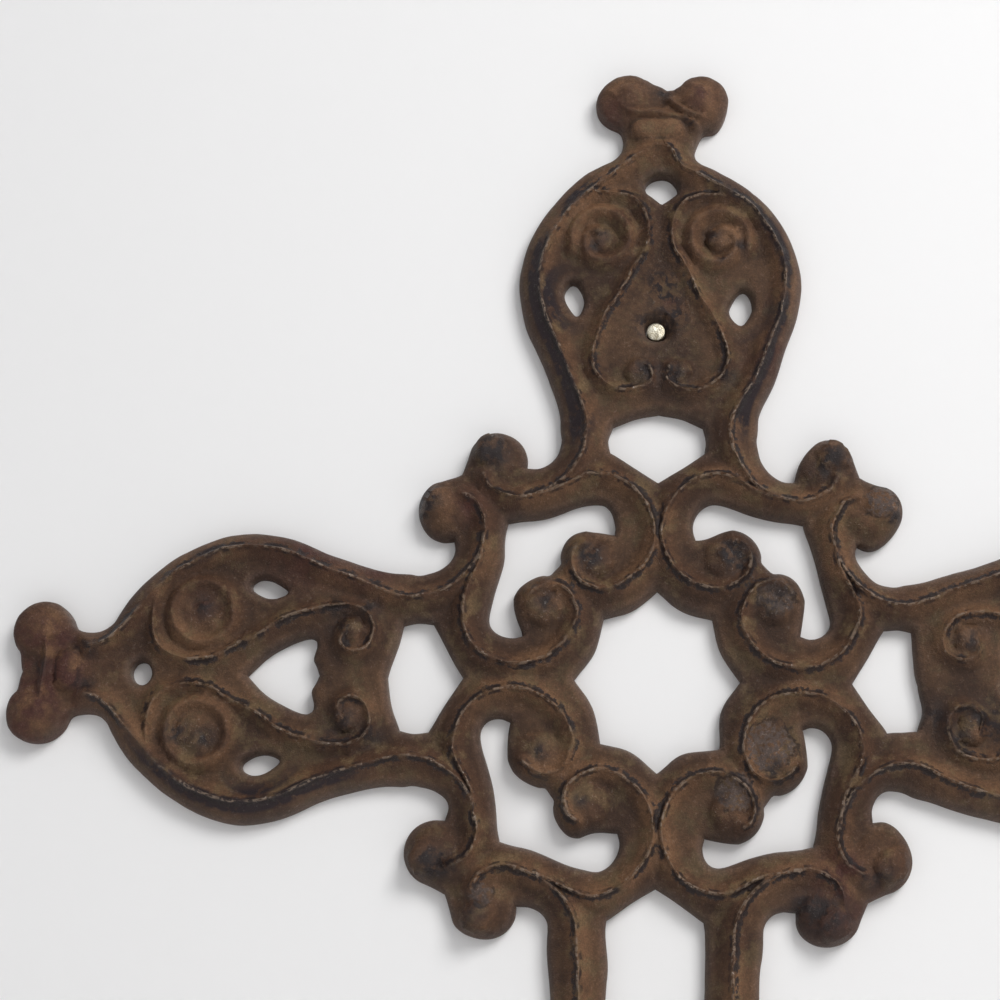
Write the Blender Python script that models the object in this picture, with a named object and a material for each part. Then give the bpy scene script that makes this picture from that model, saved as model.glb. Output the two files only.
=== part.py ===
"""Openwork wall cross, one sand casting in iron, with the steel rivet that it hangs by.

Lengths are in millimetres until the meshes are made. The cross is drawn flat, as (x, z) from the
middle where its arms meet, and its relief rises from a flat back. It hangs upright: +X is right,
+Z is up, the front faces -Y, and the origin lies on the back, just above the rivet.
"""
import bpy
import math
import numpy as np
from mathutils.geometry import delaunay_2d_cdt

MM = 0.001

# Relief, measured from the flat back
RIM_HEIGHT = 2.4
FLOOR_HEIGHT = 3.2
FRAME_CREST = 6.0
SCROLL_CREST = 5.8
HEART_CREST = 5.2
RING_CREST = 5.2
BALL_CREST = 5.6
BOSS_CREST = 5.6
FLANK_SLOPE = 0.78

# Scroll groups round the middle: (across, along) from the middle, mirrored about the diagonal
GROUP_LIFT = 1.6
KNOB_CENTRE = (29.5, 38.3)
KNOB_RADIUS = 5.7
KNOB_START_ANGLE = 12
KNOB_NOTCH = 36.5
NECK_FILLET_CENTRE = (22.8, 42.2)
NECK_FILLET_RADIUS = 5.0
NECK_FILLET_END_ANGLE = -178
OPENING_CORNER = 27.2
OPENING_EDGE = ((24.9, 27.7), (20.8, 28.2), (16.9, 29.0), (13.4, 29.9))
OPENING_END_CENTRE = (9.7, 27.2)
OPENING_END_RADIUS = 3.5
OPENING_END_ANGLES = (78, 212)
VOLUTE_CENTRE = (12.8, 20.8)
VOLUTE_RADIUS = 5.3
VOLUTE_LEAD = 170
VOLUTE_END_ANGLE = -8
VOLUTE_PINCH = 19.0
SCROLL_CENTRE = (11.2, 25.1)
SCROLL_RADIUS = 10.6
SCROLL_ROOT = ((24.4, 31.6), (20.8, 31.9), (17.4, 33.0), (14.4, 34.6))
SCROLL_BEND = (88, 262)
SCROLL_EYE = (11.9, 20.8)
SCROLL_EYE_RADIUS = 1.7
SCROLL_EYE_ANGLE = 140
SCROLL_EYE_HOLD = 0.6
KNOB_CREST_RADII = (5.6, 2.4)
KNOB_CREST_TURN = (172, -14)
KNOB_CREST_HOLD = 0.8

# Star opening in the middle
STAR_CUSP_SIDE = 14.7
STAR_CUSP_UP = 16.4
STAR_CORNER = 9.8
STAR_BULGE = 1.1

# Neck opening of each arm: (along, across)
NECK_CUSP = 34.4
NECK_CUSP_LIFT = 2.0
NECK_FLARE = (37.2, 3.8)
NECK_SIDE = ((40.4, 8.3), (43.0, 8.6), (45.6, 8.1))
NECK_SHOULDER = (47.3, 4.2)
NECK_TOP = 48.1

# Lobe and finial of each arm: (along, across), half of the outline
NECK_LINE = ((42.7, 17.7), (43.4, 17.7), (44.0, 17.8), (44.8, 17.9), (48.4, 18.2))
LOBE_EDGE = (
    (53.8, 20.0), (59.6, 22.4), (65.5, 24.9), (72.3, 26.1), (77.8, 25.6),
    (82.6, 24.0), (87.2, 21.4), (91.3, 18.2), (94.7, 14.6), (97.0, 11.0),
)
FINIAL_NECK = ((98.2, 8.9), (100.2, 7.5), (102.6, 7.3), (104.4, 7.9))
BALL_CENTRE = (110.0, 7.3)
BALL_RADIUS = 5.3
BALL_ARC = (152, -52)
FINIAL_NOTCH = 112.2
BOSS_END = (103.9, 2.8)
BOSS_END_OPEN = (105.4, 1.3)
FRAME_INSETS = {"upper": (2.6, 3.8), "right": (3.0, 3.4), "lower": (3.4, 3.6), "left": (3.0, 3.4)}
FRAME_ROOT = ((31.3, 27.0), (31.3, 24.0), (32.4, 20.4), (34.6, 17.0), (38.2, 14.4), (41.8, 13.1), (46.5, 13.2))
FRAME_TIP = ((95.3, 7.6), (98.0, 4.2), (100.2, 1.0))
FRAME_TIP_OPEN = ((95.8, 8.2), (98.8, 5.2), (101.6, 4.4))
BALL_CREST_RADIUS = 1.4
BALL_CREST_ARC = (200, 20)

# Heart, its rings and the small holes of a lobe: (along, across)
RING_CENTRE = (81.4, 10.9)
RING_RADIUS = 5.6
RING_EYE_RADIUS = 1.7
RING_START = 105
RING_TURNS = 1.2
RING_HOLD = 3
HEART_SHOULDER = ((87.4, 17.2), (90.4, 12.8), (89.6, 5.4), (85.4, 2.5), (80.1, 2.4), (75.5, 4.9))
HEART_EDGE = ((70.7, 7.2), (66.8, 10.0), (62.7, 11.4), (58.4, 12.4))
HEART_FOOT = ((55.0, 11.5), (52.7, 9.2), (51.8, 6.5), (52.4, 3.2), (54.0, 1.3), (56.2, 1.8))
HEART_FOOT_OPEN = ((54.8, 12.0), (51.9, 10.4), (50.6, 7.4), (51.8, 4.6), (54.4, 3.8), (56.4, 5.4), (56.0, 7.2))
SIDE_HOLE = ((66.8, 15.4), (69.2, 17.3), (71.6, 17.7), (73.3, 16.7), (73.0, 15.4), (70.6, 14.2), (68.4, 14.3))
HEART_HOLE = (
    (60.3, 0.0), (60.9, 1.5), (61.5, 2.7), (61.3, 4.0), (61.0, 5.2), (61.2, 6.4), (62.4, 6.9),
    (64.4, 6.4), (67.2, 5.1), (70.2, 3.1), (73.3, 0.0),
)
DROP_HOLE_CENTRE = 92.4
DROP_HOLE_RADII = (2.4, 3.2)
DROP_HOLE_ANGLE = 125
DROP_HOLE_TIP = 3.4
ROUND_HOLE_RADII = (1.8, 2.1)

# Lower arm: how much longer its neck and its lobe are
LOWER_NECK_EXTRA = 40.0
LOWER_LOBE_EXTRA = 19.0
NECK_ZONE = (42.0, 45.4)
LOBE_ZONE = (50.0, 84.0)
LIFT_ZONE = (44.5, 60.5)

# Rivet in the heart of the top lobe
RIVET_AT = (-0.7, 65.3)
RIVET_RADIUS = 1.7
RIVET_LENGTH = 2.3
RIVET_CHAMFER = 0.2
RIVET_SIDES = 24
MOUNT_ABOVE_RIVET = 6.0

# Where the hand-made pattern strays from its drawing: (place), (shift), and how far the shift reaches
STRAYS = (
    ((-16.0, 19.0), (0.7, -0.8), 8.0), ((-42.0, 31.0), (0.6, -0.2), 5.0), ((-36.0, 38.0), (0.6, -0.6), 4.0),
    ((-6.5, 29.2), (-1.7, -0.5), 4.0), ((-25.2, 8.3), (1.2, -0.7), 3.0), ((-45.0, 19.0), (0.0, -0.6), 8.0),
    ((-35.1, 12.6), (1.1, 0.0), 5.0), ((-14.0, 31.5), (0.0, 1.0), 4.5), ((-13.0, 26.5), (0.2, -0.9), 3.0),
    ((-22.5, 17.5), (0.5, -0.7), 3.2), ((-27.5, 21.0), (0.6, 0.0), 4.0), ((-38.0, 22.5), (0.7, 0.0), 3.5),
    ((-9.0, 43.5), (-0.7, 0.0), 4.0), ((23.5, 39.5), (0.3, -2.2), 5.0), ((27.0, 43.5), (1.8, -0.6), 4.0),
    ((31.0, 44.5), (0.0, -0.6), 3.0), ((38.0, 37.5), (-0.4, -0.5), 3.5), ((41.0, 25.0), (-1.5, -1.1), 5.0),
    ((36.4, 23.5), (-1.0, 0.9), 3.0), ((41.0, 19.5), (-0.7, -1.3), 6.0), ((46.0, 18.5), (0.0, -0.6), 4.5),
    ((8.0, 26.5), (0.0, -1.4), 4.0), ((11.0, 31.5), (0.0, 0.7), 4.0), ((27.0, 28.0), (-1.2, 0.2), 3.5),
    ((17.0, 20.0), (0.6, 0.1), 6.0), ((48.2, 1.7), (-2.3, 0.0), 6.0), ((45.5, 6.5), (-0.6, 0.0), 3.5),
    ((43.2, -8.0), (0.0, 2.2), 4.5), ((39.0, -25.4), (0.3, 1.3), 5.0), ((40.5, -20.0), (-0.3, 0.9), 4.0),
    ((55.0, -21.0), (0.0, -1.8), 10.0), ((23.3, -39.6), (0.2, -1.1), 5.0), ((17.8, -45.0), (0.8, -0.6), 5.0),
    ((8.0, -29.0), (2.0, -0.6), 5.0), ((14.0, -23.0), (1.0, -0.9), 6.0), ((21.0, -12.5), (0.9, 0.0), 5.0),
    ((9.8, -11.4), (1.2, -0.6), 4.0), ((-28.0, -9.0), (-0.8, 0.9), 5.0), ((-22.5, -19.0), (0.6, 0.5), 4.0),
    ((-11.0, -27.5), (0.0, 1.2), 3.5), ((-10.0, -33.0), (-0.3, -1.3), 5.0), ((-15.6, -31.2), (0.0, -1.3), 5.0),
    ((-38.0, -22.5), (1.0, 0.2), 3.0), ((-35.0, -43.0), (-0.6, -0.2), 4.0), ((-22.5, -38.1), (0.0, -1.1), 7.0),
    ((-17.8, -46.4), (-0.9, 0.0), 8.0), ((-9.0, -50.0), (0.6, 0.0), 5.0), ((-46.0, 5.0), (0.8, 0.0), 3.5),
    ((-72.0, -26.0), (0.0, -0.5), 12.0), ((-112.0, 8.0), (-0.9, 0.2), 9.0), ((-112.0, -8.0), (-1.2, -0.5), 9.0),
    ((-113.0, 0.0), (-1.2, 0.0), 4.0), ((21.0, 56.0), (0.9, 0.0), 6.0), ((15.0, 72.0), (-1.4, -2.0), 5.0),
    ((16.5, 67.5), (0.4, -0.8), 2.4), ((18.6, 70.5), (0.6, 0.0), 2.4), ((13.0, 97.0), (0.0, -0.8), 5.0),
    ((6.5, 98.6), (-2.2, -0.4), 4.0), ((16.0, 94.6), (-0.6, -0.3), 8.0), ((0.0, 94.0), (0.4, 0.0), 4.0),
    ((0.0, 112.0), (0.0, -0.6), 10.0), ((10.5, 106.0), (0.4, -1.2), 3.0), ((-9.5, 114.5), (0.8, -0.2), 3.5),
    ((-3.0, 114.0), (1.9, 0.9), 4.0),
)

# How finely the drawing is cut into faces
OUTLINE_STEP = 1.7
CREST_STEP = 1.9
CURVE_FINENESS = 12
KNOB_POINTS = 9
FILLET_POINTS = 5
BALL_POINTS = 9
BALL_CREST_POINTS = 4
OPENING_END_POINTS = 6
VOLUTE_POINTS = 9
SCROLL_BEND_POINTS = 10
HOOK_POINTS = 8
RING_POINTS = 16
SMALL_HOLE_POINTS = 6
GRID_STEP = 3.4
GRID_CLEAR = 1.4
BLOCK_ROWS = 400
MERGE_WITHIN = 1e-6
SMALLEST = 1e-9


def arc(centre, radius, start, stop, count):
    """COUNT points on an arc, angles in degrees."""
    angles = np.radians(np.linspace(start, stop, count))
    return [(centre[0] + radius * math.cos(t), centre[1] + radius * math.sin(t)) for t in angles]


def angle_to(centre, point):
    return math.degrees(math.atan2(point[1] - centre[1], point[0] - centre[0]))


def curl(centre, radii, angles, hold, count):
    """A spiral from the first radius and angle to the last; a larger HOLD keeps it wide for longer."""
    points = []
    for share in np.linspace(0, 1, count):
        radius = radii[1] + (radii[0] - radii[1]) * (1 - share**hold)
        points += arc(centre, radius, angles[0] + (angles[1] - angles[0]) * share, 0, 1)
    return points


def strayed(points):
    """The points moved by every stray of the pattern that reaches them."""
    places = np.array(points)
    moved = places.copy()
    for place, shift, reach in STRAYS:
        away = ((places - place)**2).sum(axis=1) / reach**2
        moved += np.exp(-away)[:, None] * shift
    return [tuple(p) for p in moved]


def smooth(points, step, closed=False):
    """Points every STEP along the Catmull-Rom curve through the given points."""
    through = np.array(points, float)
    count = len(through)
    if closed:
        padded = np.vstack([through[-1], through, through[0], through[1]])
    else:
        padded = np.vstack([2 * through[0] - through[1], through, 2 * through[-1] - through[-2]])
        count -= 1
    t = np.linspace(0, 1, CURVE_FINENESS, endpoint=False)[:, None]
    pieces = []
    for i in range(count):
        a, b, c, d = padded[i:i + 4]
        pieces.append(0.5 * (2 * b + (c - a) * t + (2 * a - 5 * b + 4 * c - d) * t**2
                             + (3 * b - a - 3 * c + d) * t**3))
    fine = np.vstack(pieces + [through[:1] if closed else through[-1:]])
    along = np.concatenate([[0], np.cumsum(np.linalg.norm(np.diff(fine, axis=0), axis=1))])
    steps = max(2, round(along[-1] / step))
    at = np.linspace(0, along[-1], steps + 1)
    even = np.column_stack([np.interp(at, along, fine[:, k]) for k in (0, 1)])
    return [tuple(p) for p in (even[:-1] if closed else even)]


def chain(*runs):
    """Runs joined end to end, each shared corner kept once."""
    joined = list(runs[0])
    for run in runs[1:]:
        joined += run[1:]
    return joined


def ease(value, zone):
    t = min(1.0, max(0.0, (value - zone[0]) / (zone[1] - zone[0])))
    return t * t * (3 - 2 * t)


def swapped(points):
    return [(b, a) for a, b in points]


def in_group(points, side, up):
    """(across, along) of a scroll group as (x, z); a group stands GROUP_LIFT from the middle line."""
    return [(side * u, up * (v + GROUP_LIFT)) for u, v in points]


def in_arm(points, arm, side):
    """(along, across) of an arm as (x, z). SIDE is the half of the arm that it is drawn on."""
    placed = []
    for along, across in points:
        if arm in ("left", "right"):
            drift = GROUP_LIFT * (1 - ease(along, LIFT_ZONE)) * min(1.0, across / NECK_SIDE[0][1])
            placed.append(((along if arm == "right" else -along), side * (across + drift)))
            continue
        if arm == "lower":
            along += LOWER_NECK_EXTRA * ease(along, NECK_ZONE) + LOWER_LOBE_EXTRA * ease(along, LOBE_ZONE)
        placed.append((side * across, (along + GROUP_LIFT) * (1 if arm == "upper" else -1)))
    return placed


def knob_outline():
    """From the notch on the diagonal round the knob to the neck, as (across, along)."""
    notch = (KNOB_NOTCH, KNOB_NOTCH)
    gap = math.dist(KNOB_CENTRE, NECK_FILLET_CENTRE)
    lean = math.degrees(math.acos((gap**2 + KNOB_RADIUS**2 - NECK_FILLET_RADIUS**2) / (2 * gap * KNOB_RADIUS)))
    meet = angle_to(KNOB_CENTRE, NECK_FILLET_CENTRE) + lean
    corner = arc(KNOB_CENTRE, KNOB_RADIUS, meet, meet, 1)[0]
    round_knob = [notch] + arc(KNOB_CENTRE, KNOB_RADIUS, KNOB_START_ANGLE, meet, KNOB_POINTS)
    turn = (angle_to(NECK_FILLET_CENTRE, corner), NECK_FILLET_END_ANGLE)
    fillet = arc(NECK_FILLET_CENTRE, NECK_FILLET_RADIUS, *turn, FILLET_POINTS)
    return smooth(round_knob, OUTLINE_STEP), fillet


def outer_outline():
    """The closed outer outline: eight like stretches, each from a diagonal notch out to a finial."""
    knob, fillet = knob_outline()
    ball = arc(BALL_CENTRE, BALL_RADIUS, *BALL_ARC, BALL_POINTS)
    tip = (FINIAL_NOTCH, 0.0)

    def stretch(arm, side):
        level = arm in ("left", "right")
        quarter = (1 if arm == "right" else -1, side) if level else (side, 1 if arm == "upper" else -1)
        first, neck = [in_group(swapped(run) if level else run, *quarter) for run in (knob, fillet)]
        flank = in_arm(NECK_LINE + LOBE_EDGE + FINIAL_NECK + tuple(ball) + (tip,), arm, side)
        return chain(first, smooth(neck + flank, OUTLINE_STEP))

    order = (("upper", 1), ("right", 1), ("right", -1), ("lower", 1),
             ("lower", -1), ("left", -1), ("left", 1), ("upper", -1))
    outline = []
    for index, (arm, side) in enumerate(order):
        run = stretch(arm, side)
        outline += run[:-1] if index % 2 else run[::-1][:-1]
    return outline


def opening_outline(side, up):
    """The L-shaped opening inside one scroll group, between its bars and its two volutes."""
    end = angle_to(OPENING_END_CENTRE, VOLUTE_CENTRE)
    turn_in = arc(OPENING_END_CENTRE, OPENING_END_RADIUS, *OPENING_END_ANGLES, OPENING_END_POINTS)
    volute = arc(VOLUTE_CENTRE, VOLUTE_RADIUS, end + VOLUTE_LEAD, VOLUTE_END_ANGLE, VOLUTE_POINTS)[1:]
    corner = (OPENING_CORNER, OPENING_CORNER)
    pinch = (VOLUTE_PINCH, VOLUTE_PINCH)
    half = chain(smooth((corner,) + OPENING_EDGE + tuple(turn_in), OUTLINE_STEP),
                 smooth(turn_in[-1:] + volute + [pinch], OUTLINE_STEP))
    whole = half + swapped(half)[::-1][1:-1]
    return in_group(whole, side, up)


def star_outline():
    """Eight arcs that bulge into the middle, between four cusps on the axes and four corners."""
    top = (0.0, STAR_CUSP_UP)
    corner = (STAR_CORNER, STAR_CORNER + GROUP_LIFT)
    side = (STAR_CUSP_SIDE, 0.0)

    def bulge(start, end):
        middle = [(start[k] + end[k]) / 2 for k in (0, 1)]
        pull = 1 - STAR_BULGE / math.hypot(*middle)
        return smooth([start, (middle[0] * pull, middle[1] * pull), end], OUTLINE_STEP)

    quarter = chain(bulge(top, corner), bulge(corner, side))
    outline = []
    for sx, sz in ((1, 1), (1, -1), (-1, -1), (-1, 1)):
        run = [(sx * x, sz * z) for x, z in quarter]
        outline += run[:-1] if sx * sz > 0 else run[::-1][:-1]
    return outline


def closed_pair(half, arm):
    """A closed outline across an arm from its half; the half's two ends lie on the arm's middle line."""
    return in_arm(half, arm, 1) + in_arm(half[::-1][1:-1], arm, -1)


def neck_outline(arm):
    cusp = (NECK_CUSP + (NECK_CUSP_LIFT - GROUP_LIFT if arm in ("upper", "lower") else 0.0), 0.0)
    low = smooth([cusp, NECK_FLARE, NECK_SIDE[0]], OUTLINE_STEP)
    side = smooth(NECK_SIDE, OUTLINE_STEP)
    top = smooth([NECK_SIDE[-1], NECK_SHOULDER, (NECK_TOP, 0.0)], OUTLINE_STEP)
    return closed_pair(chain(low, side, top), arm)


def lobe_holes(arm):
    """The small holes of a lobe. The top lobe's heart is solid; the others' hearts are pierced."""
    holes = [in_arm(smooth(SIDE_HOLE, OUTLINE_STEP, closed=True), arm, side) for side in (1, -1)]

    def half_oval(radii, start):
        return [(DROP_HOLE_CENTRE + radii[0] * a, radii[1] * b)
                for a, b in arc((0.0, 0.0), 1.0, start, 0, SMALL_HOLE_POINTS)]

    if arm == "upper":
        tip = (DROP_HOLE_CENTRE - DROP_HOLE_TIP, 0.0)
        return holes + [closed_pair([tip] + half_oval(DROP_HOLE_RADII, DROP_HOLE_ANGLE), arm)]
    holes.append(closed_pair(half_oval(ROUND_HOLE_RADII, 180), arm))
    return holes + [closed_pair(smooth(HEART_HOLE, OUTLINE_STEP), arm)]


def rivet_hole():
    return arc(RIVET_AT, RIVET_RADIUS, 0, 360 - 360 / RIVET_SIDES, RIVET_SIDES)


def scroll_crest():
    """Crest of a C-scroll as (across, along), from its root by the knobs to the eye of its volute."""
    bend = arc(SCROLL_CENTRE, SCROLL_RADIUS, *SCROLL_BEND, SCROLL_BEND_POINTS)
    reach = math.dist(SCROLL_EYE, bend[-1])
    turn = (angle_to(SCROLL_EYE, bend[-1]), SCROLL_EYE_ANGLE)
    hook = curl(SCROLL_EYE, (reach, SCROLL_EYE_RADIUS), turn, SCROLL_EYE_HOLD, HOOK_POINTS)
    return smooth(SCROLL_ROOT + tuple(bend + hook[1:]), CREST_STEP)


def arm_crests(arm, side):
    """Crest lines of one half of an arm, as (along, across) with their heights."""
    edge = np.array(LOBE_EDGE)
    run = np.gradient(edge, axis=0)
    inward = np.column_stack([run[:, 1], -run[:, 0]]) / np.linalg.norm(run, axis=1)[:, None]
    lobe = [tuple(p) for p in (edge + FRAME_INSETS[arm][side < 0] * inward)[:-2]]
    hook = curl(KNOB_CENTRE[::-1], KNOB_CREST_RADII, KNOB_CREST_TURN, KNOB_CREST_HOLD, HOOK_POINTS)
    tip, foot = (FRAME_TIP, HEART_FOOT) if arm == "upper" else (FRAME_TIP_OPEN, HEART_FOOT_OPEN)
    turn = (RING_START, RING_START - 360 * RING_TURNS)
    ring = curl(RING_CENTRE, (RING_RADIUS, RING_EYE_RADIUS), turn, RING_HOLD, RING_POINTS)
    ball = arc(BALL_CENTRE, BALL_CREST_RADIUS, *BALL_CREST_ARC, BALL_CREST_POINTS)
    return [
        (smooth([*hook[::-1], *FRAME_ROOT, *lobe, *tip], CREST_STEP), FRAME_CREST),
        (smooth(HEART_SHOULDER + HEART_EDGE + foot, CREST_STEP), HEART_CREST),
        (smooth(ring, CREST_STEP), RING_CREST),
        (smooth(ball, CREST_STEP), BALL_CREST),
    ]


def drawing():
    """Every closed outline, outer one first and rivet hole last, and every crest line with its height."""
    arms = ("upper", "right", "lower", "left")
    outlines = [outer_outline(), star_outline()]
    outlines += [opening_outline(side, up) for side in (1, -1) for up in (1, -1)]
    for arm in arms:
        outlines.append(neck_outline(arm))
        outlines += lobe_holes(arm)
    crests = []
    for side in (1, -1):
        for up in (1, -1):
            for line in (scroll_crest(), swapped(scroll_crest())):
                crests.append((in_group(line, side, up), SCROLL_CREST))
    for arm in arms:
        for side in (1, -1):
            crests += [(in_arm(line, arm, side), height) for line, height in arm_crests(arm, side)]
        boss = BOSS_END if arm == "upper" else BOSS_END_OPEN
        crests.append(([in_arm([boss], arm, side)[0] for side in (1, -1)], BOSS_CREST))
    outlines = [strayed(line) for line in outlines] + [rivet_hole()]
    return outlines, [(strayed(line), height) for line, height in crests]


def segments(lines, closed):
    """Each line's segments as rows of (x, z, x, z)."""
    rows = []
    for line in lines:
        ends = line[1:] + line[:1] if closed else line[1:]
        rows += [(*a, *b) for a, b in zip(line, ends)]
    return np.array(rows)


def distances(points, rows):
    """Distance from each point to each segment."""
    start, end = rows[:, :2], rows[:, 2:]
    run = end - start
    length = np.maximum((run**2).sum(axis=1), SMALLEST)
    offset = points[:, None, :] - start[None]
    share = np.clip((offset * run).sum(axis=2) / length, 0, 1)
    return np.linalg.norm(offset - share[..., None] * run, axis=2)


def relief(points, edge_rows, crest_rows, crest_heights):
    """Height over the back: roof flanks that fall from the nearest crest to the nearest edge."""
    heights = []
    for block in np.array_split(points, max(1, len(points) // BLOCK_ROWS)):
        to_edge = distances(block, edge_rows).min(axis=1)
        to_crest = distances(block, crest_rows)
        tent = crest_heights - FLANK_SLOPE * to_crest
        best = tent.argmax(axis=1)
        row = np.arange(len(block))
        near = to_crest[row, best]
        peak = crest_heights[best]
        flank = RIM_HEIGHT + (peak - RIM_HEIGHT) * to_edge / np.maximum(to_edge + near, SMALLEST)
        heights.append(np.minimum(flank, np.maximum(tent[row, best], FLOOR_HEIGHT)))
    return np.concatenate(heights)


def inside(points, outlines):
    """True where a point lies in the metal, by counting crossings of every outline."""
    crossings = np.zeros(len(points), int)
    for row in segments(outlines, closed=True):
        x0, z0, x1, z1 = row
        if z0 == z1:
            continue
        spans = (points[:, 1] >= min(z0, z1)) & (points[:, 1] < max(z0, z1))
        x_at = x0 + (points[:, 1] - z0) * (x1 - x0) / (z1 - z0)
        crossings += spans & (x_at > points[:, 0])
    return crossings % 2 == 1


def triangulate(points, edges, outlines):
    """Triangles of the metal between the outlines, with the given edges kept."""
    found = delaunay_2d_cdt([tuple(p) for p in points], edges, [], 0, MERGE_WITHIN)
    flat = np.array([tuple(p) for p in found[0]])
    faces = np.array([tuple(f) for f in found[2]])
    return flat, faces[inside(flat[faces].mean(axis=1), outlines)]


def casting_mesh():
    outlines, crests = drawing()
    edge_rows = segments(outlines[:-1], closed=True)
    crest_rows, crest_heights = [], []
    for line, height in crests:
        rows = segments([line], closed=False)
        crest_rows.append(rows)
        crest_heights += [height] * len(rows)
    crest_rows = np.vstack(crest_rows)
    crest_heights = np.array(crest_heights)

    points, edges = [], []
    for line, closed in [(o, True) for o in outlines] + [(c, False) for c, _ in crests]:
        first = len(points)
        points += line
        edges += [(first + i, first + i + 1) for i in range(len(line) - 1)]
        if closed:
            edges.append((len(points) - 1, first))
    low = np.min(outlines[0], axis=0)
    high = np.max(outlines[0], axis=0)
    rows = np.arange(low[1], high[1], GRID_STEP * math.sqrt(0.75))
    grid = np.array([(x + (index % 2) * GRID_STEP / 2, z) for index, z in enumerate(rows)
                     for x in np.arange(low[0], high[0], GRID_STEP)])
    grid = grid[inside(grid, outlines)]
    every_row = np.vstack([segments(outlines, closed=True), crest_rows])
    blocks = np.array_split(grid, max(1, len(grid) // BLOCK_ROWS))
    clear = np.concatenate([distances(block, every_row).min(axis=1) for block in blocks])
    points += [tuple(p) for p in grid[clear > GRID_CLEAR]]

    front, front_faces = triangulate(points, edges, outlines)
    height = relief(front, edge_rows, crest_rows, crest_heights)

    sides = np.vstack([front_faces[:, [0, 1]], front_faces[:, [1, 2]], front_faces[:, [2, 0]]])
    known = {(a, b) for a, b in sides.tolist()}
    border = [(a, b) for a, b in known if (b, a) not in known]
    rim = sorted({a for a, _ in border})
    place = {index: k for k, index in enumerate(rim)}
    back, back_faces = triangulate(front[rim], [(place[a], place[b]) for a, b in border], outlines)

    count = len(front)
    vertices = [(x, -h, z) for (x, z), h in zip(front, height)] + [(x, 0.0, z) for x, z in back]
    faces = [tuple(f) for f in front_faces]
    faces += [(count + a, count + c, count + b) for a, b, c in back_faces]
    for a, b in sorted(border):
        faces.append((b, a, count + place[a]))
        faces.append((b, count + place[a], count + place[b]))
    return vertices, faces


def rivet_mesh():
    """A plain shank whose front end is lightly chamfered."""
    rings = ((0.0, RIVET_RADIUS), (RIVET_LENGTH - RIVET_CHAMFER, RIVET_RADIUS),
             (RIVET_LENGTH, RIVET_RADIUS - RIVET_CHAMFER))
    count = RIVET_SIDES
    vertices = [(x, -depth, z) for depth, radius in rings
                for x, z in arc(RIVET_AT, radius, 0, 360 - 360 / count, count)]
    faces = [tuple(range(count))[::-1], tuple(range(2 * count, 3 * count))]
    for first in (0, count):
        for k in range(count):
            a, b = first + k, first + (k + 1) % count
            faces.append((a, b, b + count, a + count))
    return vertices, faces


def add_object(name, vertices, faces, colour, roughness, metallic):
    """One object with its own material. The origin is moved to the mount above the rivet."""
    mount = RIVET_AT[1] + MOUNT_ABOVE_RIVET
    mesh = bpy.data.meshes.new(name)
    mesh.from_pydata([(x * MM, y * MM, (z - mount) * MM) for x, y, z in vertices], [], faces)
    mesh.update()
    material = bpy.data.materials.new(name)
    material.use_nodes = True
    shader = material.node_tree.nodes["Principled BSDF"]
    shader.inputs["Base Color"].default_value = (*colour, 1.0)
    shader.inputs["Roughness"].default_value = roughness
    shader.inputs["Metallic"].default_value = metallic
    mesh.materials.append(material)
    made = bpy.data.objects.new(name, mesh)
    bpy.context.scene.collection.objects.link(made)
    return made


for old in list(bpy.data.objects):
    bpy.data.objects.remove(old)
add_object("cross_casting", *casting_mesh(), (0.085, 0.055, 0.042), 0.62, 0.35)
add_object("hanger_rivet", *rivet_mesh(), (0.62, 0.58, 0.52), 0.3, 1.0)
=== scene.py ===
import bpy
import math
import numpy as np
from mathutils import Matrix, Vector
from mathutils.geometry import delaunay_2d_cdt
from mathutils.kdtree import KDTree


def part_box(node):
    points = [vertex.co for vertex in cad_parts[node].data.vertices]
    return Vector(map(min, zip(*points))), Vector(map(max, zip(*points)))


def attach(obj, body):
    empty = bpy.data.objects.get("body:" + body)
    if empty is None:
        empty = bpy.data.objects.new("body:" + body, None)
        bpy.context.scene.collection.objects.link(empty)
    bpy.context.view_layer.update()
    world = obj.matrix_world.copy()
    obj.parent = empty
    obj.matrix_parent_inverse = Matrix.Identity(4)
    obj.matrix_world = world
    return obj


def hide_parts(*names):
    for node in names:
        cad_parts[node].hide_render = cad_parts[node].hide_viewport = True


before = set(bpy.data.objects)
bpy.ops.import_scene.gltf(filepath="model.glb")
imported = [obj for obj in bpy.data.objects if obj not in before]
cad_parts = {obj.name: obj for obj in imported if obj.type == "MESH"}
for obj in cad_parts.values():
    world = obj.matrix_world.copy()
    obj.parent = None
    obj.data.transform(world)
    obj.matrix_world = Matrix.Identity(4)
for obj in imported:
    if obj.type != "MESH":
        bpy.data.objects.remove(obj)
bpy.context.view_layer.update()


# The casting, its drawing: the cross is one piece of iron, poured in an open sand mould from a pattern
# cut by hand. It is drawn flat in millimetres, as (x, z) from the middle where the arms meet.
MM = 0.001
OUTLINE_STEP = 0.5
CREST_STEP = 0.55
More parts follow.
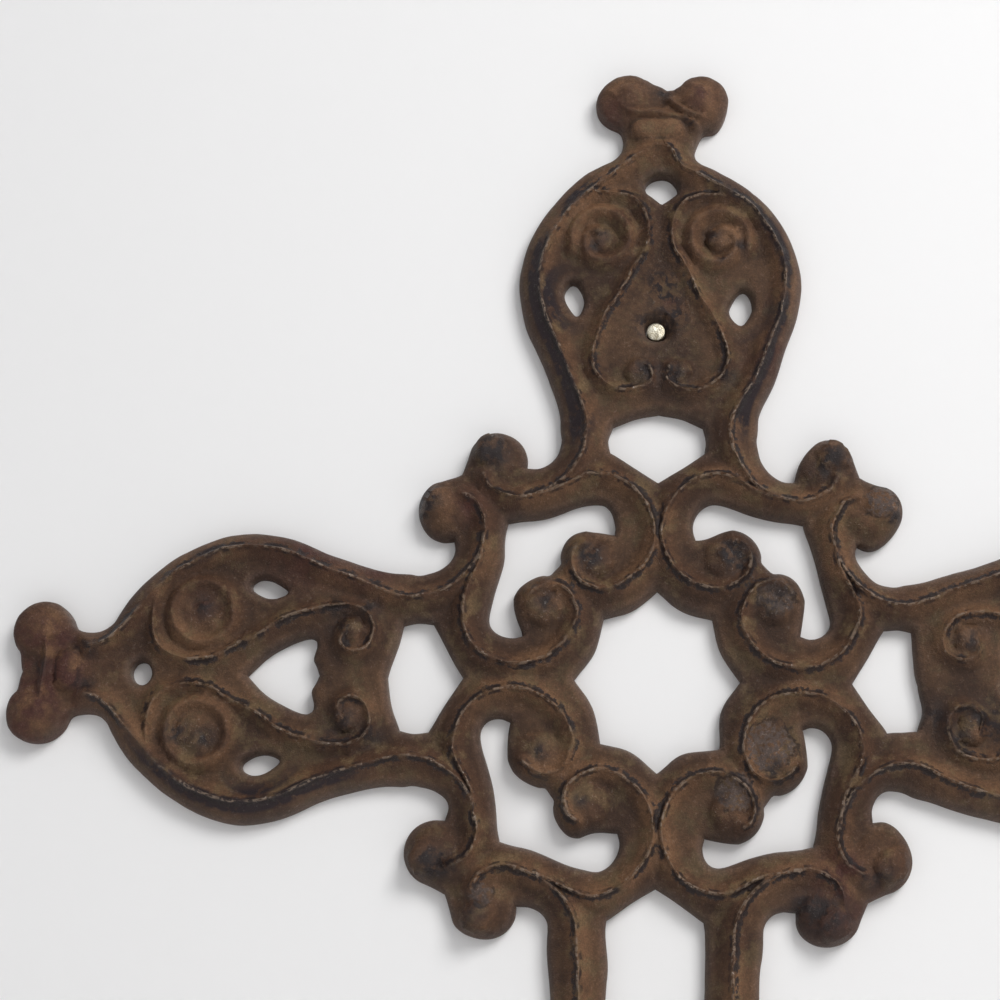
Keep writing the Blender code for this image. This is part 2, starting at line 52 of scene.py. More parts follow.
# Where the pattern strays from its own drawing: the place, how far it is pulled, and how wide round it.
STRAYS = (
    ((-16.0, 19.0), (0.7, -0.8), 8.0), ((-42.0, 31.0), (0.6, -0.2), 5.0),
    ((-36.0, 38.0), (0.6, -0.6), 4.0), ((-6.5, 29.2), (-1.7, -0.5), 4.0),
    ((-25.2, 8.3), (1.2, -0.7), 3.0), ((-45.0, 19.0), (0.0, -0.6), 8.0), ((-35.1, 12.6), (1.1, 0.0), 5.0),
    ((-14.0, 31.5), (0.0, 1.0), 4.5), ((-13.0, 26.5), (0.2, -0.9), 3.0),
    ((-22.5, 17.5), (0.5, -0.7), 3.2), ((-27.5, 21.0), (0.6, 0.0), 4.0), ((-38.0, 22.5), (0.7, 0.0), 3.5),
    ((-9.0, 43.5), (-0.7, 0.0), 4.0), ((23.5, 39.5), (0.3, -2.2), 5.0), ((27.0, 43.5), (1.8, -0.6), 4.0),
    ((31.0, 44.5), (0.0, -0.6), 3.0), ((38.0, 37.5), (-0.4, -0.5), 3.5),
    ((41.0, 25.0), (-1.5, -1.1), 5.0), ((36.4, 23.5), (-1.0, 0.9), 3.0),
    ((41.0, 19.5), (-0.7, -1.3), 6.0), ((46.0, 18.5), (0.0, -0.6), 4.5), ((8.0, 26.5), (0.0, -1.4), 4.0),
    ((11.0, 31.5), (0.0, 0.7), 4.0), ((27.0, 28.0), (-1.2, 0.2), 3.5), ((17.0, 20.0), (0.6, 0.1), 6.0),
    ((48.2, 1.7), (-2.3, 0.0), 6.0), ((45.5, 6.5), (-0.6, 0.0), 3.5), ((43.2, -8.0), (0.0, 2.2), 4.5),
    ((39.0, -25.4), (0.3, 1.3), 5.0), ((40.5, -20.0), (-0.3, 0.9), 4.0),
    ((55.0, -21.0), (0.0, -1.8), 10.0), ((23.3, -39.6), (0.2, -1.1), 5.0),
    ((17.8, -45.0), (0.8, -0.6), 5.0), ((8.0, -29.0), (2.0, -0.6), 5.0),
    ((14.0, -23.0), (1.0, -0.9), 6.0), ((21.0, -12.5), (0.9, 0.0), 5.0), ((9.8, -11.4), (1.2, -0.6), 4.0),
    ((-28.0, -9.0), (-0.8, 0.9), 5.0), ((-22.5, -19.0), (0.6, 0.5), 4.0),
    ((-11.0, -27.5), (0.0, 1.2), 3.5), ((-10.0, -33.0), (-0.3, -1.3), 5.0),
    ((-15.6, -31.2), (0.0, -1.3), 5.0), ((-38.0, -22.5), (1.0, 0.2), 3.0),
    ((-35.0, -43.0), (-0.6, -0.2), 4.0), ((-22.5, -38.1), (0.0, -1.1), 7.0),
    ((-17.8, -46.4), (-0.9, 0.0), 8.0), ((-9.0, -50.0), (0.6, 0.0), 5.0), ((-46.0, 5.0), (0.8, 0.0), 3.5),
    ((-72.0, -26.0), (0.0, -0.5), 12.0), ((-112.0, 8.0), (-0.9, 0.2), 9.0),
    ((-112.0, -8.0), (-1.2, -0.5), 9.0), ((-113.0, 0.0), (-1.2, 0.0), 4.0),
    ((21.0, 56.0), (0.9, 0.0), 6.0), ((15.0, 72.0), (-1.4, -2.0), 5.0), ((16.5, 67.5), (0.4, -0.8), 2.4),
    ((18.6, 70.5), (0.6, 0.0), 2.4), ((13.0, 97.0), (0.0, -0.8), 5.0), ((6.5, 98.6), (-2.2, -0.4), 4.0),
    ((16.0, 94.6), (-0.6, -0.3), 8.0), ((0.0, 94.0), (0.4, 0.0), 4.0), ((0.0, 112.0), (0.0, -0.6), 10.0),
    ((10.5, 106.0), (0.4, -1.2), 3.0), ((-9.5, 114.5), (0.8, -0.2), 3.5),
    ((-3.0, 114.0), (1.9, 0.9), 4.0),
)


def arc(centre, radius, start, stop, count):
    """COUNT points on an arc, angles in degrees."""
    angles = np.radians(np.linspace(start, stop, count))
    return [(centre[0] + radius * math.cos(t), centre[1] + radius * math.sin(t)) for t in angles]


def angle_to(centre, point):
    return math.degrees(math.atan2(point[1] - centre[1], point[0] - centre[0]))


def curl(centre, radii, angles, hold, count):
    """A spiral from the first radius and angle to the last; a larger HOLD keeps it wide for longer."""
    points = []
    for share in np.linspace(0, 1, count):
        radius = radii[1] + (radii[0] - radii[1]) * (1 - share**hold)
        points += arc(centre, radius, angles[0] + (angles[1] - angles[0]) * share, 0, 1)
    return points


def smooth(points, step, closed=False):
    """Points every STEP along the Catmull-Rom curve through the given points."""
    through = np.array(points, float)
    count = len(through)
    if closed:
        padded = np.vstack([through[-1], through, through[0], through[1]])
    else:
        padded = np.vstack([2 * through[0] - through[1], through, 2 * through[-1] - through[-2]])
        count -= 1
    t = np.linspace(0, 1, 12, endpoint=False)[:, None]
    pieces = []
    for i in range(count):
        a, b, c, d = padded[i:i + 4]
        pieces.append(0.5 * (2 * b + (c - a) * t + (2 * a - 5 * b + 4 * c - d) * t**2
                             + (3 * b - a - 3 * c + d) * t**3))
    fine = np.vstack(pieces + [through[:1] if closed else through[-1:]])
    along = np.concatenate([[0], np.cumsum(np.linalg.norm(np.diff(fine, axis=0), axis=1))])
    steps = max(2, round(along[-1] / step))
    at = np.linspace(0, along[-1], steps + 1)
    even = np.column_stack([np.interp(at, along, fine[:, k]) for k in (0, 1)])
    return [tuple(p) for p in (even[:-1] if closed else even)]


def chain(*runs):
    """Runs joined end to end, each shared corner kept once."""
    joined = list(runs[0])
    for run in runs[1:]:
        joined += run[1:]
    return joined


def swapped(points):
    return [(b, a) for a, b in points]


def ease(value, zone):
    t = min(1.0, max(0.0, (value - zone[0]) / (zone[1] - zone[0])))
    return t * t * (3 - 2 * t)


def strayed(points):
    """The points moved by every stray of the pattern that reaches them."""
    places = np.array(points)
    moved = places.copy()
    for place, shift, reach in STRAYS:
        away = ((places - place)**2).sum(axis=1) / reach**2
        moved += np.exp(-away)[:, None] * shift
    return moved


# The casting, its scroll groups: four pairs of C-scrolls round a star-shaped gap, tied by small knobs
# at the diagonals. A group is drawn as (across, along) from the middle and mirrored about its diagonal.
GROUP_LIFT = 1.6
KNOB_CENTRE = (29.5, 38.3)
KNOB_RADIUS = 5.7
KNOB_NOTCH = 36.5
KNOB_START_ANGLE = 12
KNOB_CREST_RADII = (5.6, 3.6)
KNOB_CREST_TURN = (172, 140)
KNOB_CREST_HOLD = 0.8
NECK_FILLET_CENTRE = (22.8, 42.2)
NECK_FILLET_RADIUS = 5.0
NECK_FILLET_END_ANGLE = -178
OPENING_CORNER = 27.2
OPENING_EDGE = ((24.9, 27.7), (20.8, 28.2), (16.9, 29.0), (13.4, 29.9))
OPENING_END_CENTRE = (9.7, 27.2)
OPENING_END_RADIUS = 3.5
OPENING_END_ANGLES = (78, 212)
VOLUTE_CENTRE = (12.8, 20.8)
VOLUTE_RADIUS = 5.3
VOLUTE_LEAD = 170
VOLUTE_END_ANGLE = -8
VOLUTE_PINCH = 19.0
SCROLL_CENTRE = (11.2, 25.1)
SCROLL_RADIUS = 10.6
SCROLL_ROOT = ((24.4, 31.6), (20.8, 31.9), (17.4, 33.0), (14.4, 34.6))
SCROLL_BEND = (88, 262)
SCROLL_EYE = (11.9, 20.8)
SCROLL_EYE_RADIUS = 3.4
SCROLL_EYE_ANGLE = 55
SCROLL_EYE_HOLD = 0.6
GROOVE_AWAY = 0.6
VOLUTE_MOUND = (12.3, 20.6)
KNOB_CAP = (30.6, 40.2)
STAR_CUSP_SIDE = 14.7
STAR_CUSP_UP = 16.4
STAR_CORNER = 9.8
STAR_BULGE = 1.1


def in_group(points, side, up):
    return [(side * u, up * (v + GROUP_LIFT)) for u, v in points]


def knob_outline():
    """From the notch on the diagonal round the knob to the neck, as (across, along)."""
    gap = math.dist(KNOB_CENTRE, NECK_FILLET_CENTRE)
    across = (gap**2 + KNOB_RADIUS**2 - NECK_FILLET_RADIUS**2) / (2 * gap * KNOB_RADIUS)
    lean = math.degrees(math.acos(across))
    meet = angle_to(KNOB_CENTRE, NECK_FILLET_CENTRE) + lean
    corner = arc(KNOB_CENTRE, KNOB_RADIUS, meet, meet, 1)[0]
    round_knob = [(KNOB_NOTCH, KNOB_NOTCH)] + arc(KNOB_CENTRE, KNOB_RADIUS, KNOB_START_ANGLE, meet, 9)
    start = angle_to(NECK_FILLET_CENTRE, corner)
    fillet = arc(NECK_FILLET_CENTRE, NECK_FILLET_RADIUS, start, NECK_FILLET_END_ANGLE, 5)
    return smooth(round_knob, OUTLINE_STEP), fillet


def opening_outline(side, up):
    """The L-shaped opening inside one scroll group, between its bars and its two volutes."""
    end = angle_to(OPENING_END_CENTRE, VOLUTE_CENTRE)
    turn_in = arc(OPENING_END_CENTRE, OPENING_END_RADIUS, *OPENING_END_ANGLES, 6)
    volute = arc(VOLUTE_CENTRE, VOLUTE_RADIUS, end + VOLUTE_LEAD, VOLUTE_END_ANGLE, 9)[1:]
    half = chain(smooth(((OPENING_CORNER, OPENING_CORNER),) + OPENING_EDGE + tuple(turn_in), OUTLINE_STEP),
                 smooth(turn_in[-1:] + volute + [(VOLUTE_PINCH, VOLUTE_PINCH)], OUTLINE_STEP))
    return in_group(half + swapped(half)[::-1][1:-1], side, up)


def star_outline():
    """Eight arcs that bulge into the middle, between four cusps on the axes and four corners."""
    corner = (STAR_CORNER, STAR_CORNER + GROUP_LIFT)

    def bulge(start, end):
        middle = [(start[k] + end[k]) / 2 for k in (0, 1)]
        pull = 1 - STAR_BULGE / math.hypot(*middle)
        return smooth([start, (middle[0] * pull, middle[1] * pull), end], OUTLINE_STEP)

    quarter = chain(bulge((0.0, STAR_CUSP_UP), corner), bulge(corner, (STAR_CUSP_SIDE, 0.0)))
    outline = []
    for sx, sz in ((1, 1), (1, -1), (-1, -1), (-1, 1)):
        run = [(sx * x, sz * z) for x, z in quarter]
        outline += run[:-1] if sx * sz > 0 else run[::-1][:-1]
    return outline


def aside(line, away):
    """A line moved sideways, to the right of its run where AWAY is above nought."""
    run = np.gradient(np.array(line), axis=0)
    side = np.column_stack([run[:, 1], -run[:, 0]]) / np.linalg.norm(run, axis=1)[:, None]
    return [tuple(p) for p in line + away * side]


def scroll_crest():
    """Crest of a C-scroll, from its root by the knobs round to the eye of its volute."""
    bend = arc(SCROLL_CENTRE, SCROLL_RADIUS, *SCROLL_BEND, 10)
    reach = math.dist(SCROLL_EYE, bend[-1])
    turn = (angle_to(SCROLL_EYE, bend[-1]), SCROLL_EYE_ANGLE)
    hook = curl(SCROLL_EYE, (reach, SCROLL_EYE_RADIUS), turn, SCROLL_EYE_HOLD, 8)
    return smooth(SCROLL_ROOT + tuple(bend + hook[1:]), CREST_STEP)


# The casting, its arms: a neck with an open middle, a lobe that holds a heart with two rings, and a
# forked finial. An arm is drawn as (along, across) in halves; the lower one has a longer neck and lobe.
# The names that end in OPEN are for the three arms whose hearts are pierced.
NECK_CUSP = 34.4
NECK_CUSP_LIFT = 2.0
NECK_FLARE = (37.2, 3.8)
NECK_SIDE = ((40.4, 8.3), (43.0, 8.6), (45.6, 8.1))
NECK_SHOULDER = (47.3, 4.2)
NECK_TOP = 48.1
NECK_LINE = ((42.7, 17.7), (43.4, 17.7), (44.0, 17.8), (44.8, 17.9), (48.4, 18.2))
LOBE_EDGE = (
    (53.8, 20.0), (59.6, 22.4), (65.5, 24.9), (72.3, 26.1), (77.8, 25.6),
    (82.6, 24.0), (87.2, 21.4), (91.3, 18.2), (94.7, 14.6), (97.0, 11.0),
)
FINIAL_NECK = ((98.2, 8.9), (100.2, 7.5), (102.6, 7.3), (104.4, 7.9))
BALL_CENTRE = (110.0, 7.3)
BALL_RADIUS = 5.3
BALL_ARC = (152, -52)
BALL_CAP = (110.2, 7.0)
FINIAL_NOTCH = 112.2
BOSS_ENDS = ((-3.4, 105.2), (2.0, 105.2))
BOSS_END_OPEN = (105.4, 1.3)
FINIAL_BAR = ((99.0, 0.0), (107.0, 0.0))
BOWS = (
    ((-9.1, 112.3), (-5.7, 108.7), (-0.3, 108.3), (4.3, 107.2), (6.2, 106.2)),
    ((1.6, 110.9), (4.3, 108.9), (7.2, 107.6)),
)
BOW_OPEN = ((109.6, 7.9), (108.4, 3.0), (108.6, -2.5), (109.2, -7.3))
FADED_OPEN = (((91.0, 13.8), 5.5), ((87.0, 4.0), 3.0), ((103.0, 5.5), 3.0))
FRAME_INSETS = {"upper": (3.0, 3.8), "right": (3.0, 3.4), "lower": (3.4, 3.6), "left": (3.0, 3.4)}
FRAME_ROOT = (
    (31.3, 27.0), (31.3, 24.0), (32.4, 20.4), (34.6, 17.0), (38.2, 14.4), (41.8, 13.1), (46.5, 13.2),
)
FRAME_TIP = ((95.3, 7.6), (98.0, 4.2), (100.2, 1.0))
FRAME_TIP_OPEN = ((95.8, 8.2), (98.8, 5.2), (101.6, 4.4))
RING_CENTRE = (81.4, 10.9)
RING_RADIUS = 5.6
RING_EYE_RADIUS = 1.7
RING_START = 105
RING_TURNS = 1.2
RING_HOLD = 3
HEART_SHOULDER = ((87.4, 17.2), (90.4, 12.8), (89.6, 5.4), (85.4, 2.5), (80.1, 2.4), (75.5, 4.9))
HEART_EDGE = ((70.7, 7.2), (66.8, 10.0), (62.7, 11.4), (58.4, 12.4))
HEART_FOOT = ((55.0, 11.5), (52.7, 9.2), (51.8, 6.5), (52.4, 3.2), (54.0, 1.3), (56.2, 1.8))
HEART_FOOT_OPEN = (
    (54.8, 12.0), (51.9, 10.4), (50.6, 7.4), (51.8, 4.6), (54.4, 3.8), (56.4, 5.4), (56.0, 7.2),
)
FOOT_EYE = (55.6, 3.6)
FOOT_EYE_OPEN = (54.6, 7.4)
SIDE_HOLE = (
    (66.8, 15.4), (69.2, 17.3), (71.6, 17.7), (73.3, 16.7), (73.0, 15.4), (70.6, 14.2), (68.4, 14.3),
)
HEART_HOLE = (
    (60.3, 0.0), (60.9, 1.5), (61.5, 2.7), (61.3, 4.0), (61.0, 5.2), (61.2, 6.4), (62.4, 6.9),
    (64.4, 6.4), (67.2, 5.1), (70.2, 3.1), (73.3, 0.0),
)
DROP_HOLE_CENTRE = 92.4
DROP_HOLE_RADII = (2.4, 3.2)
DROP_HOLE_ANGLE = 125
DROP_HOLE_TIP = 3.4
ROUND_HOLE_RADII = (1.8, 2.1)
SMALL_HOLE_POINTS = 14
LOWER_NECK_EXTRA = 40.0
LOWER_LOBE_EXTRA = 19.0
NECK_ZONE = (42.0, 45.4)
LOBE_ZONE = (50.0, 84.0)
LIFT_ZONE = (44.5, 60.5)
ARMS = ("upper", "right", "lower", "left")
RIVET_AT = (-0.7, 65.3)
RIVET_RADIUS = 1.7
RIVET_PLAY = 0.03
CRATER_AT = (-0.2, 65.8)
MOUNT_ABOVE_RIVET = 6.0


def in_arm(points, arm, side):
    """(along, across) of an arm as (x, z). SIDE is the half of the arm that it is drawn on."""
    placed = []
    for along, across in points:
        if arm in ("left", "right"):
            # The scroll groups stand off the side arms' middle line, and their lift dies out in the lobe.
            drift = GROUP_LIFT * (1 - ease(along, LIFT_ZONE)) * min(1.0, across / NECK_SIDE[0][1])
            placed.append(((along if arm == "right" else -along), side * (across + drift)))
            continue
        if arm == "lower":
            along += LOWER_NECK_EXTRA * ease(along, NECK_ZONE) + LOWER_LOBE_EXTRA * ease(along, LOBE_ZONE)
        placed.append((side * across, (along + GROUP_LIFT) * (1 if arm == "upper" else -1)))
    return placed


def outer_outline():
    """The closed outer outline: eight like stretches, each from a diagonal notch out to a finial."""
    knob, fillet = knob_outline()
    ball = arc(BALL_CENTRE, BALL_RADIUS, *BALL_ARC, 13)

    def stretch(arm, side):
        level = arm in ("left", "right")
        quarter = (1 if arm == "right" else -1, side) if level else (side, 1 if arm == "upper" else -1)
        first, neck = [in_group(swapped(run) if level else run, *quarter) for run in (knob, fillet)]
        half = NECK_LINE + LOBE_EDGE + FINIAL_NECK + tuple(ball) + ((FINIAL_NOTCH, 0.0),)
        flank = in_arm(half, arm, side)
        return chain(first, smooth(neck + flank, OUTLINE_STEP))

    order = (("upper", 1), ("right", 1), ("right", -1), ("lower", 1),
             ("lower", -1), ("left", -1), ("left", 1), ("upper", -1))
    outline = []
    for index, (arm, side) in enumerate(order):
        run = stretch(arm, side)
        outline += run[:-1] if index % 2 else run[::-1][:-1]
    return outline


def closed_pair(half, arm):
    """A closed outline across an arm from its half; the half's two ends lie on the arm's middle line."""
    return in_arm(half, arm, 1) + in_arm(half[::-1][1:-1], arm, -1)


def respaced(outline):
    """The same closed outline with even, short steps and its corners kept."""
    points = np.array(outline + outline[:1])
    spaced = []
    for a, b in zip(points[:-1], points[1:]):
        count = max(1, round(float(np.linalg.norm(b - a)) / OUTLINE_STEP))
        spaced += [tuple(a + (b - a) * k / count) for k in range(count)]
    return spaced


def neck_outline(arm):
    cusp = (NECK_CUSP + (NECK_CUSP_LIFT - GROUP_LIFT if arm in ("upper", "lower") else 0.0), 0.0)
    low = smooth([cusp, NECK_FLARE, NECK_SIDE[0]], OUTLINE_STEP)
    side = smooth(NECK_SIDE, OUTLINE_STEP)
    top = smooth([NECK_SIDE[-1], NECK_SHOULDER, (NECK_TOP, 0.0)], OUTLINE_STEP)
    return respaced(closed_pair(chain(low, side, top), arm))


def lobe_holes(arm):
    """The small holes of a lobe. The top lobe's heart is solid; the others' hearts are pierced."""
    holes = [in_arm(smooth(SIDE_HOLE, OUTLINE_STEP, closed=True), arm, side) for side in (1, -1)]

    def half_oval(radii, start):
        return [(DROP_HOLE_CENTRE + radii[0] * a, radii[1] * b)
                for a, b in arc((0.0, 0.0), 1.0, start, 0, SMALL_HOLE_POINTS)]

    if arm == "upper":
        tip = (DROP_HOLE_CENTRE - DROP_HOLE_TIP, 0.0)
        return holes + [respaced(closed_pair([tip] + half_oval(DROP_HOLE_RADII, DROP_HOLE_ANGLE), arm))]
    holes.append(closed_pair(half_oval(ROUND_HOLE_RADII, 180), arm))
    return holes + [respaced(closed_pair(smooth(HEART_HOLE, OUTLINE_STEP), arm))]


def arm_crests(arm, side):
    """Crest lines of one half of an arm, by the kind of bar that they top."""
    edge = np.array(LOBE_EDGE)
    run = np.gradient(edge, axis=0)
    inward = np.column_stack([run[:, 1], -run[:, 0]]) / np.linalg.norm(run, axis=1)[:, None]
    lobe = [tuple(p) for p in edge[:-2] + FRAME_INSETS[arm][side < 0] * inward[:-2]]
    hook = curl(KNOB_CENTRE[::-1], KNOB_CREST_RADII, KNOB_CREST_TURN, KNOB_CREST_HOLD, 4)
    upper = arm == "upper"
    tip, foot = (FRAME_TIP, HEART_FOOT) if upper else (FRAME_TIP_OPEN, HEART_FOOT_OPEN)
    turn = (RING_START, RING_START - 360 * (RING_TURNS if upper else 1))
    radii = (RING_RADIUS, RING_EYE_RADIUS if upper else RING_RADIUS)
    return {
        "Frame": smooth([*hook[::-1], *FRAME_ROOT, *lobe, *tip], CREST_STEP),
        "Heart": smooth(HEART_SHOULDER + HEART_EDGE + foot, CREST_STEP),
        "Ring": smooth(curl(RING_CENTRE, radii, turn, RING_HOLD, 16), CREST_STEP),
    }


outlines = [outer_outline(), star_outline()]
outlines += [opening_outline(side, up) for side in (1, -1) for up in (1, -1)]
for arm in ARMS:
    outlines += [neck_outline(arm)] + lobe_holes(arm)
outlines = [strayed(line) for line in outlines]
outlines.append(np.array(arc(RIVET_AT, RIVET_RADIUS + RIVET_PLAY, 0, 345, 24)))

bows = [np.array(smooth(bow, CREST_STEP)) for bow in BOWS]
crests = {"Frame": [], "Scroll": [], "Heart": [], "Ring": [], "Bow": bows}
grooves = []
domes = {kind: [] for kind in ("Ball", "Neck", "Boss", "Knob", "Volute", "Eye", "Dish", "Cap")}
craters = [np.array([CRATER_AT])]
for side in (1, -1):
    for up in (1, -1):
        for turned in (list, swapped):
            crest = scroll_crest()
            for gathered, line in ((crests["Scroll"], crest), (grooves, aside(crest, GROOVE_AWAY)),
                                   (domes["Volute"], [VOLUTE_MOUND]), (domes["Knob"], [KNOB_CENTRE]),
                                   (domes["Cap"], [KNOB_CAP])):
                gathered.append(strayed(in_group(turned(line), side, up)))
for arm in ARMS:
    for side in (1, -1):
        for kind, line in arm_crests(arm, side).items():
            crests[kind].append(strayed(in_arm(line, arm, side)))
            if kind != "Ring":
                grooves.append(strayed(in_arm(aside(line, -GROOVE_AWAY), arm, side)))
        domes["Ball"].append(strayed(in_arm([BALL_CENTRE], arm, side)))
        domes["Cap"].append(strayed(in_arm([BALL_CAP], arm, side)))
        eyes = [RING_CENTRE, FOOT_EYE] if arm == "upper" else [FOOT_EYE_OPEN]
        domes["Eye"].append(strayed(in_arm(eyes, arm, side)))
        if arm != "upper":
            domes["Dish"].append(strayed(in_arm([RING_CENTRE], arm, side)))
    if arm == "upper":
        domes["Boss"].append(np.array(BOSS_ENDS))
    else:
        domes["Boss"].append(np.array([in_arm([BOSS_END_OPEN], arm, side)[0] for side in (1, -1)]))
        crests["Bow"].append(strayed(in_arm(smooth(BOW_OPEN, CREST_STEP), arm, 1)))
    domes["Neck"].append(np.array(in_arm(FINIAL_BAR, arm, 1)))


# The casting, its flat sheets: the drawing cut into small triangles, front and back, joined by the
# walls of every edge. Short rows of points lie beside each crest and edge, where the form turns fast.
# The GAPS are how far the rows and the grid keep from an edge and from a crest, all in millimetres.
GRID_STEP = 0.78
GRID_GAPS = (1.25, 1.3)
CREST_ROWS = (0.26, 0.55, 0.9)
CREST_ROW_GAPS = (1.0, 0.24)
EDGE_ROWS = (0.18, 0.42, 0.8)
EDGE_ROW_GAPS = (0.16, 0.3)
LEAST_GAP = 0.25
BACK_STEP = 2.2
SNAP = 1e-5
WALL_SHARES = (0.0, 0.5, 1.0)


def inside(points, lines):
    """True where a point lies in the metal, by counting crossings of every outline."""
    crossings = np.zeros(len(points), int)
    for line in lines:
        for (x0, z0), (x1, z1) in zip(line, np.roll(line, -1, axis=0)):
            if z0 != z1:
                spans = (points[:, 1] >= min(z0, z1)) & (points[:, 1] < max(z0, z1))
                crossings += spans & (x0 + (points[:, 1] - z0) * (x1 - x0) / (z1 - z0) > points[:, 0])
    return crossings % 2 == 1


def tree_of(lines):
    points = np.vstack(lines)
    tree = KDTree(len(points))
    for index, (x, z) in enumerate(points):
        tree.insert((x, 0.0, z), index)
    tree.balance()
    return tree


def distance_from(tree, points):
    return np.array([tree.find((x, 0.0, z))[2] for x, z in points])


def beside(line, closed, offsets):
    """Rows of points on both sides of a line."""
    following = np.roll(line, -1, axis=0) if closed else np.vstack([line[1:], 2 * line[-1] - line[-2]])
    run = following - line
    length = np.maximum(np.linalg.norm(run, axis=1), 1e-9)[:, None]
    side = np.column_stack([run[:, 1], -run[:, 0]]) / length
    return np.vstack([line + sign * offset * side for offset in offsets for sign in (1, -1)])


def hexagonal(step):
    low, high = outlines[0].min(axis=0), outlines[0].max(axis=0)
    rows = np.arange(low[1], high[1], step * math.sqrt(0.75))
    return np.array([(x + (index % 2) * step / 2, z) for index, z in enumerate(rows)
                     for x in np.arange(low[0], high[0], step)])


def sheet(lines, loose):
    """Triangles of the metal through the lines, given as (points, closed), and the loose points."""
    points, edges = [], []
    for line, closed in lines:
        first = len(points)
        points += [tuple(p) for p in line]
        edges += [(first + i, first + i + 1) for i in range(len(line) - 1)]
        if closed:
            edges.append((len(points) - 1, first))
    found = delaunay_2d_cdt(points + [tuple(p) for p in loose], edges, [], 0, SNAP)
    flat = np.array([tuple(p) for p in found[0]])
    faces = np.array([tuple(f) for f in found[2]])
    return flat, faces[inside(flat[faces].mean(axis=1), outlines)]


crest_lines = [line for lines in crests.values() for line in lines]
edge_tree, crest_tree = tree_of(outlines), tree_of(crest_lines)
grid = hexagonal(GRID_STEP)
crest_rows = np.vstack([beside(line, False, CREST_ROWS) for line in crest_lines])
edge_rows = np.vstack([beside(line, True, EDGE_ROWS) for line in outlines])
loose = []
for rows, (from_edge, from_crest) in ((edge_rows, EDGE_ROW_GAPS), (crest_rows, CREST_ROW_GAPS),
                                      (grid, GRID_GAPS)):
    keep = (distance_from(edge_tree, rows) > from_edge) & (distance_from(crest_tree, rows) > from_crest)
    loose.append(rows[keep])
loose = np.vstack(loose)
sieve = {}
for x, z in loose:
    sieve.setdefault((round(x / LEAST_GAP), round(z / LEAST_GAP)), (x, z))
loose = np.array(list(sieve.values()))
front, front_faces = sheet([(o, True) for o in outlines] + [(c, False) for c in crest_lines],
                           loose[inside(loose, outlines)])
sides = np.vstack([front_faces[:, [0, 1]], front_faces[:, [1, 2]], front_faces[:, [2, 0]]])
known = {(a, b) for a, b in sides.tolist()}
border = sorted((a, b) for a, b in known if (b, a) not in known)
rim = sorted({a for a, _ in border})
place = {index: k for k, index in enumerate(rim)}
back_grid = hexagonal(BACK_STEP)
back_grid = back_grid[inside(back_grid, outlines) & (distance_from(edge_tree, back_grid) > BACK_STEP / 2)]
found = delaunay_2d_cdt([tuple(p) for p in np.vstack([front[rim], back_grid])],
                        [(place[a], place[b]) for a, b in border], [], 0, SNAP)
back = np.array([tuple(p) for p in found[0]])
back_faces = np.array([tuple(f) for f in found[2]])
back_faces = back_faces[inside(back[back_faces].mean(axis=1), outlines)]

flat = [back, front[rim], front]
shares = np.concatenate([np.full(len(part), share) for part, share in zip(flat, WALL_SHARES)])
flat = np.vstack(flat)
middle_start, front_start = len(back), len(back) + len(rim)
faces = [(a, c, b) for a, b, c in back_faces.tolist()]
faces += [tuple(front_start + k for k in face) for face in front_faces.tolist()]
for a, b in border:
    faces.append((front_start + b, front_start + a, middle_start + place[a], middle_start + place[b]))
    faces.append((middle_start + place[b], middle_start + place[a], place[a], place[b]))
mount_height = RIVET_AT[1] + MOUNT_ABOVE_RIVET


def flat_mesh(name, points, edges, polygons):
    mesh = bpy.data.meshes.new(name)
    mesh.from_pydata([(x * MM, 0.0, (z - mount_height) * MM) for x, z in points], edges, polygons)
    made = bpy.data.objects.new(name, mesh)
    bpy.context.scene.collection.objects.link(made)
    return made


cross = flat_mesh("cross", flat, [], faces)
cross.data.attributes.new("share", "FLOAT", "POINT").data.foreach_set("value", shares.astype(np.float32))


# The casting, its relief: roof-shaped bars that rise to a sharp crest and fall to the edges, with domed
# knobs, eyes and finial balls, as carved on the pattern. Heights are in mm from the flat back. A tree of
# Geometry Nodes lifts the flat sheet by its distance from the drawn lines.
RELIEF = {
    "Rim Height": 2.5, "Rim Round": 0.9, "Rim Drop": 1.0, "Floor Height": 3.3, "Floor Softness": 0.7,
    "Flank Swell": 0.8, "Bead Height": 0.35, "Bead Width": 0.24, "Groove Depth": 0.3, "Groove Width": 0.32,
    "Wear Size": 3.5, "Wobble": 0.32, "Wobble Size": 2.6, "Dome Blend": 0.25, "Crater Bottom": 1.2,
    "Crater Top": 6.0, "Crater Inner": 2.2, "Crater Outer": 3.2,
}
# Each kind of crest and of dome, by the inputs named above it. The domes in BARS follow a short line.
CREST_INPUTS = ("Height", "Slope", "Round", "Bead")
CRESTS = {
    "Frame": (5.5, 0.75, 0.0, 1.0), "Scroll": (5.4, 0.75, 0.0, 1.0), "Heart": (4.9, 0.75, 0.0, 0.9),
    "Ring": (5.6, 1.05, 0.45, 0.0), "Bow": (5.5, 1.3, 0.2, 0.1),
}
DOME_INPUTS = ("Foot", "Top", "Radius", "Roughness")
DOMES = {
    "Ball": (2.9, 4.8, 5.6, 0.5), "Neck": (2.2, 3.9, 6.8, 0.0), "Boss": (3.9, 5.2, 2.4, 0.2),
    "Knob": (2.6, 4.5, 5.2, 0.6), "Volute": (3.2, 4.7, 4.2, 1.0), "Eye": (3.4, 4.9, 2.6, 1.0),
    "Dish": (3.8, 4.2, 4.2, 1.0), "Cap": (4.5, 5.6, 2.9, 0.3),
}
BARS = ("Neck", "Boss")
WORN_BEADS = (0.4, 0.56, 0.15, 1.0)
KNOB_FADE = 4.4
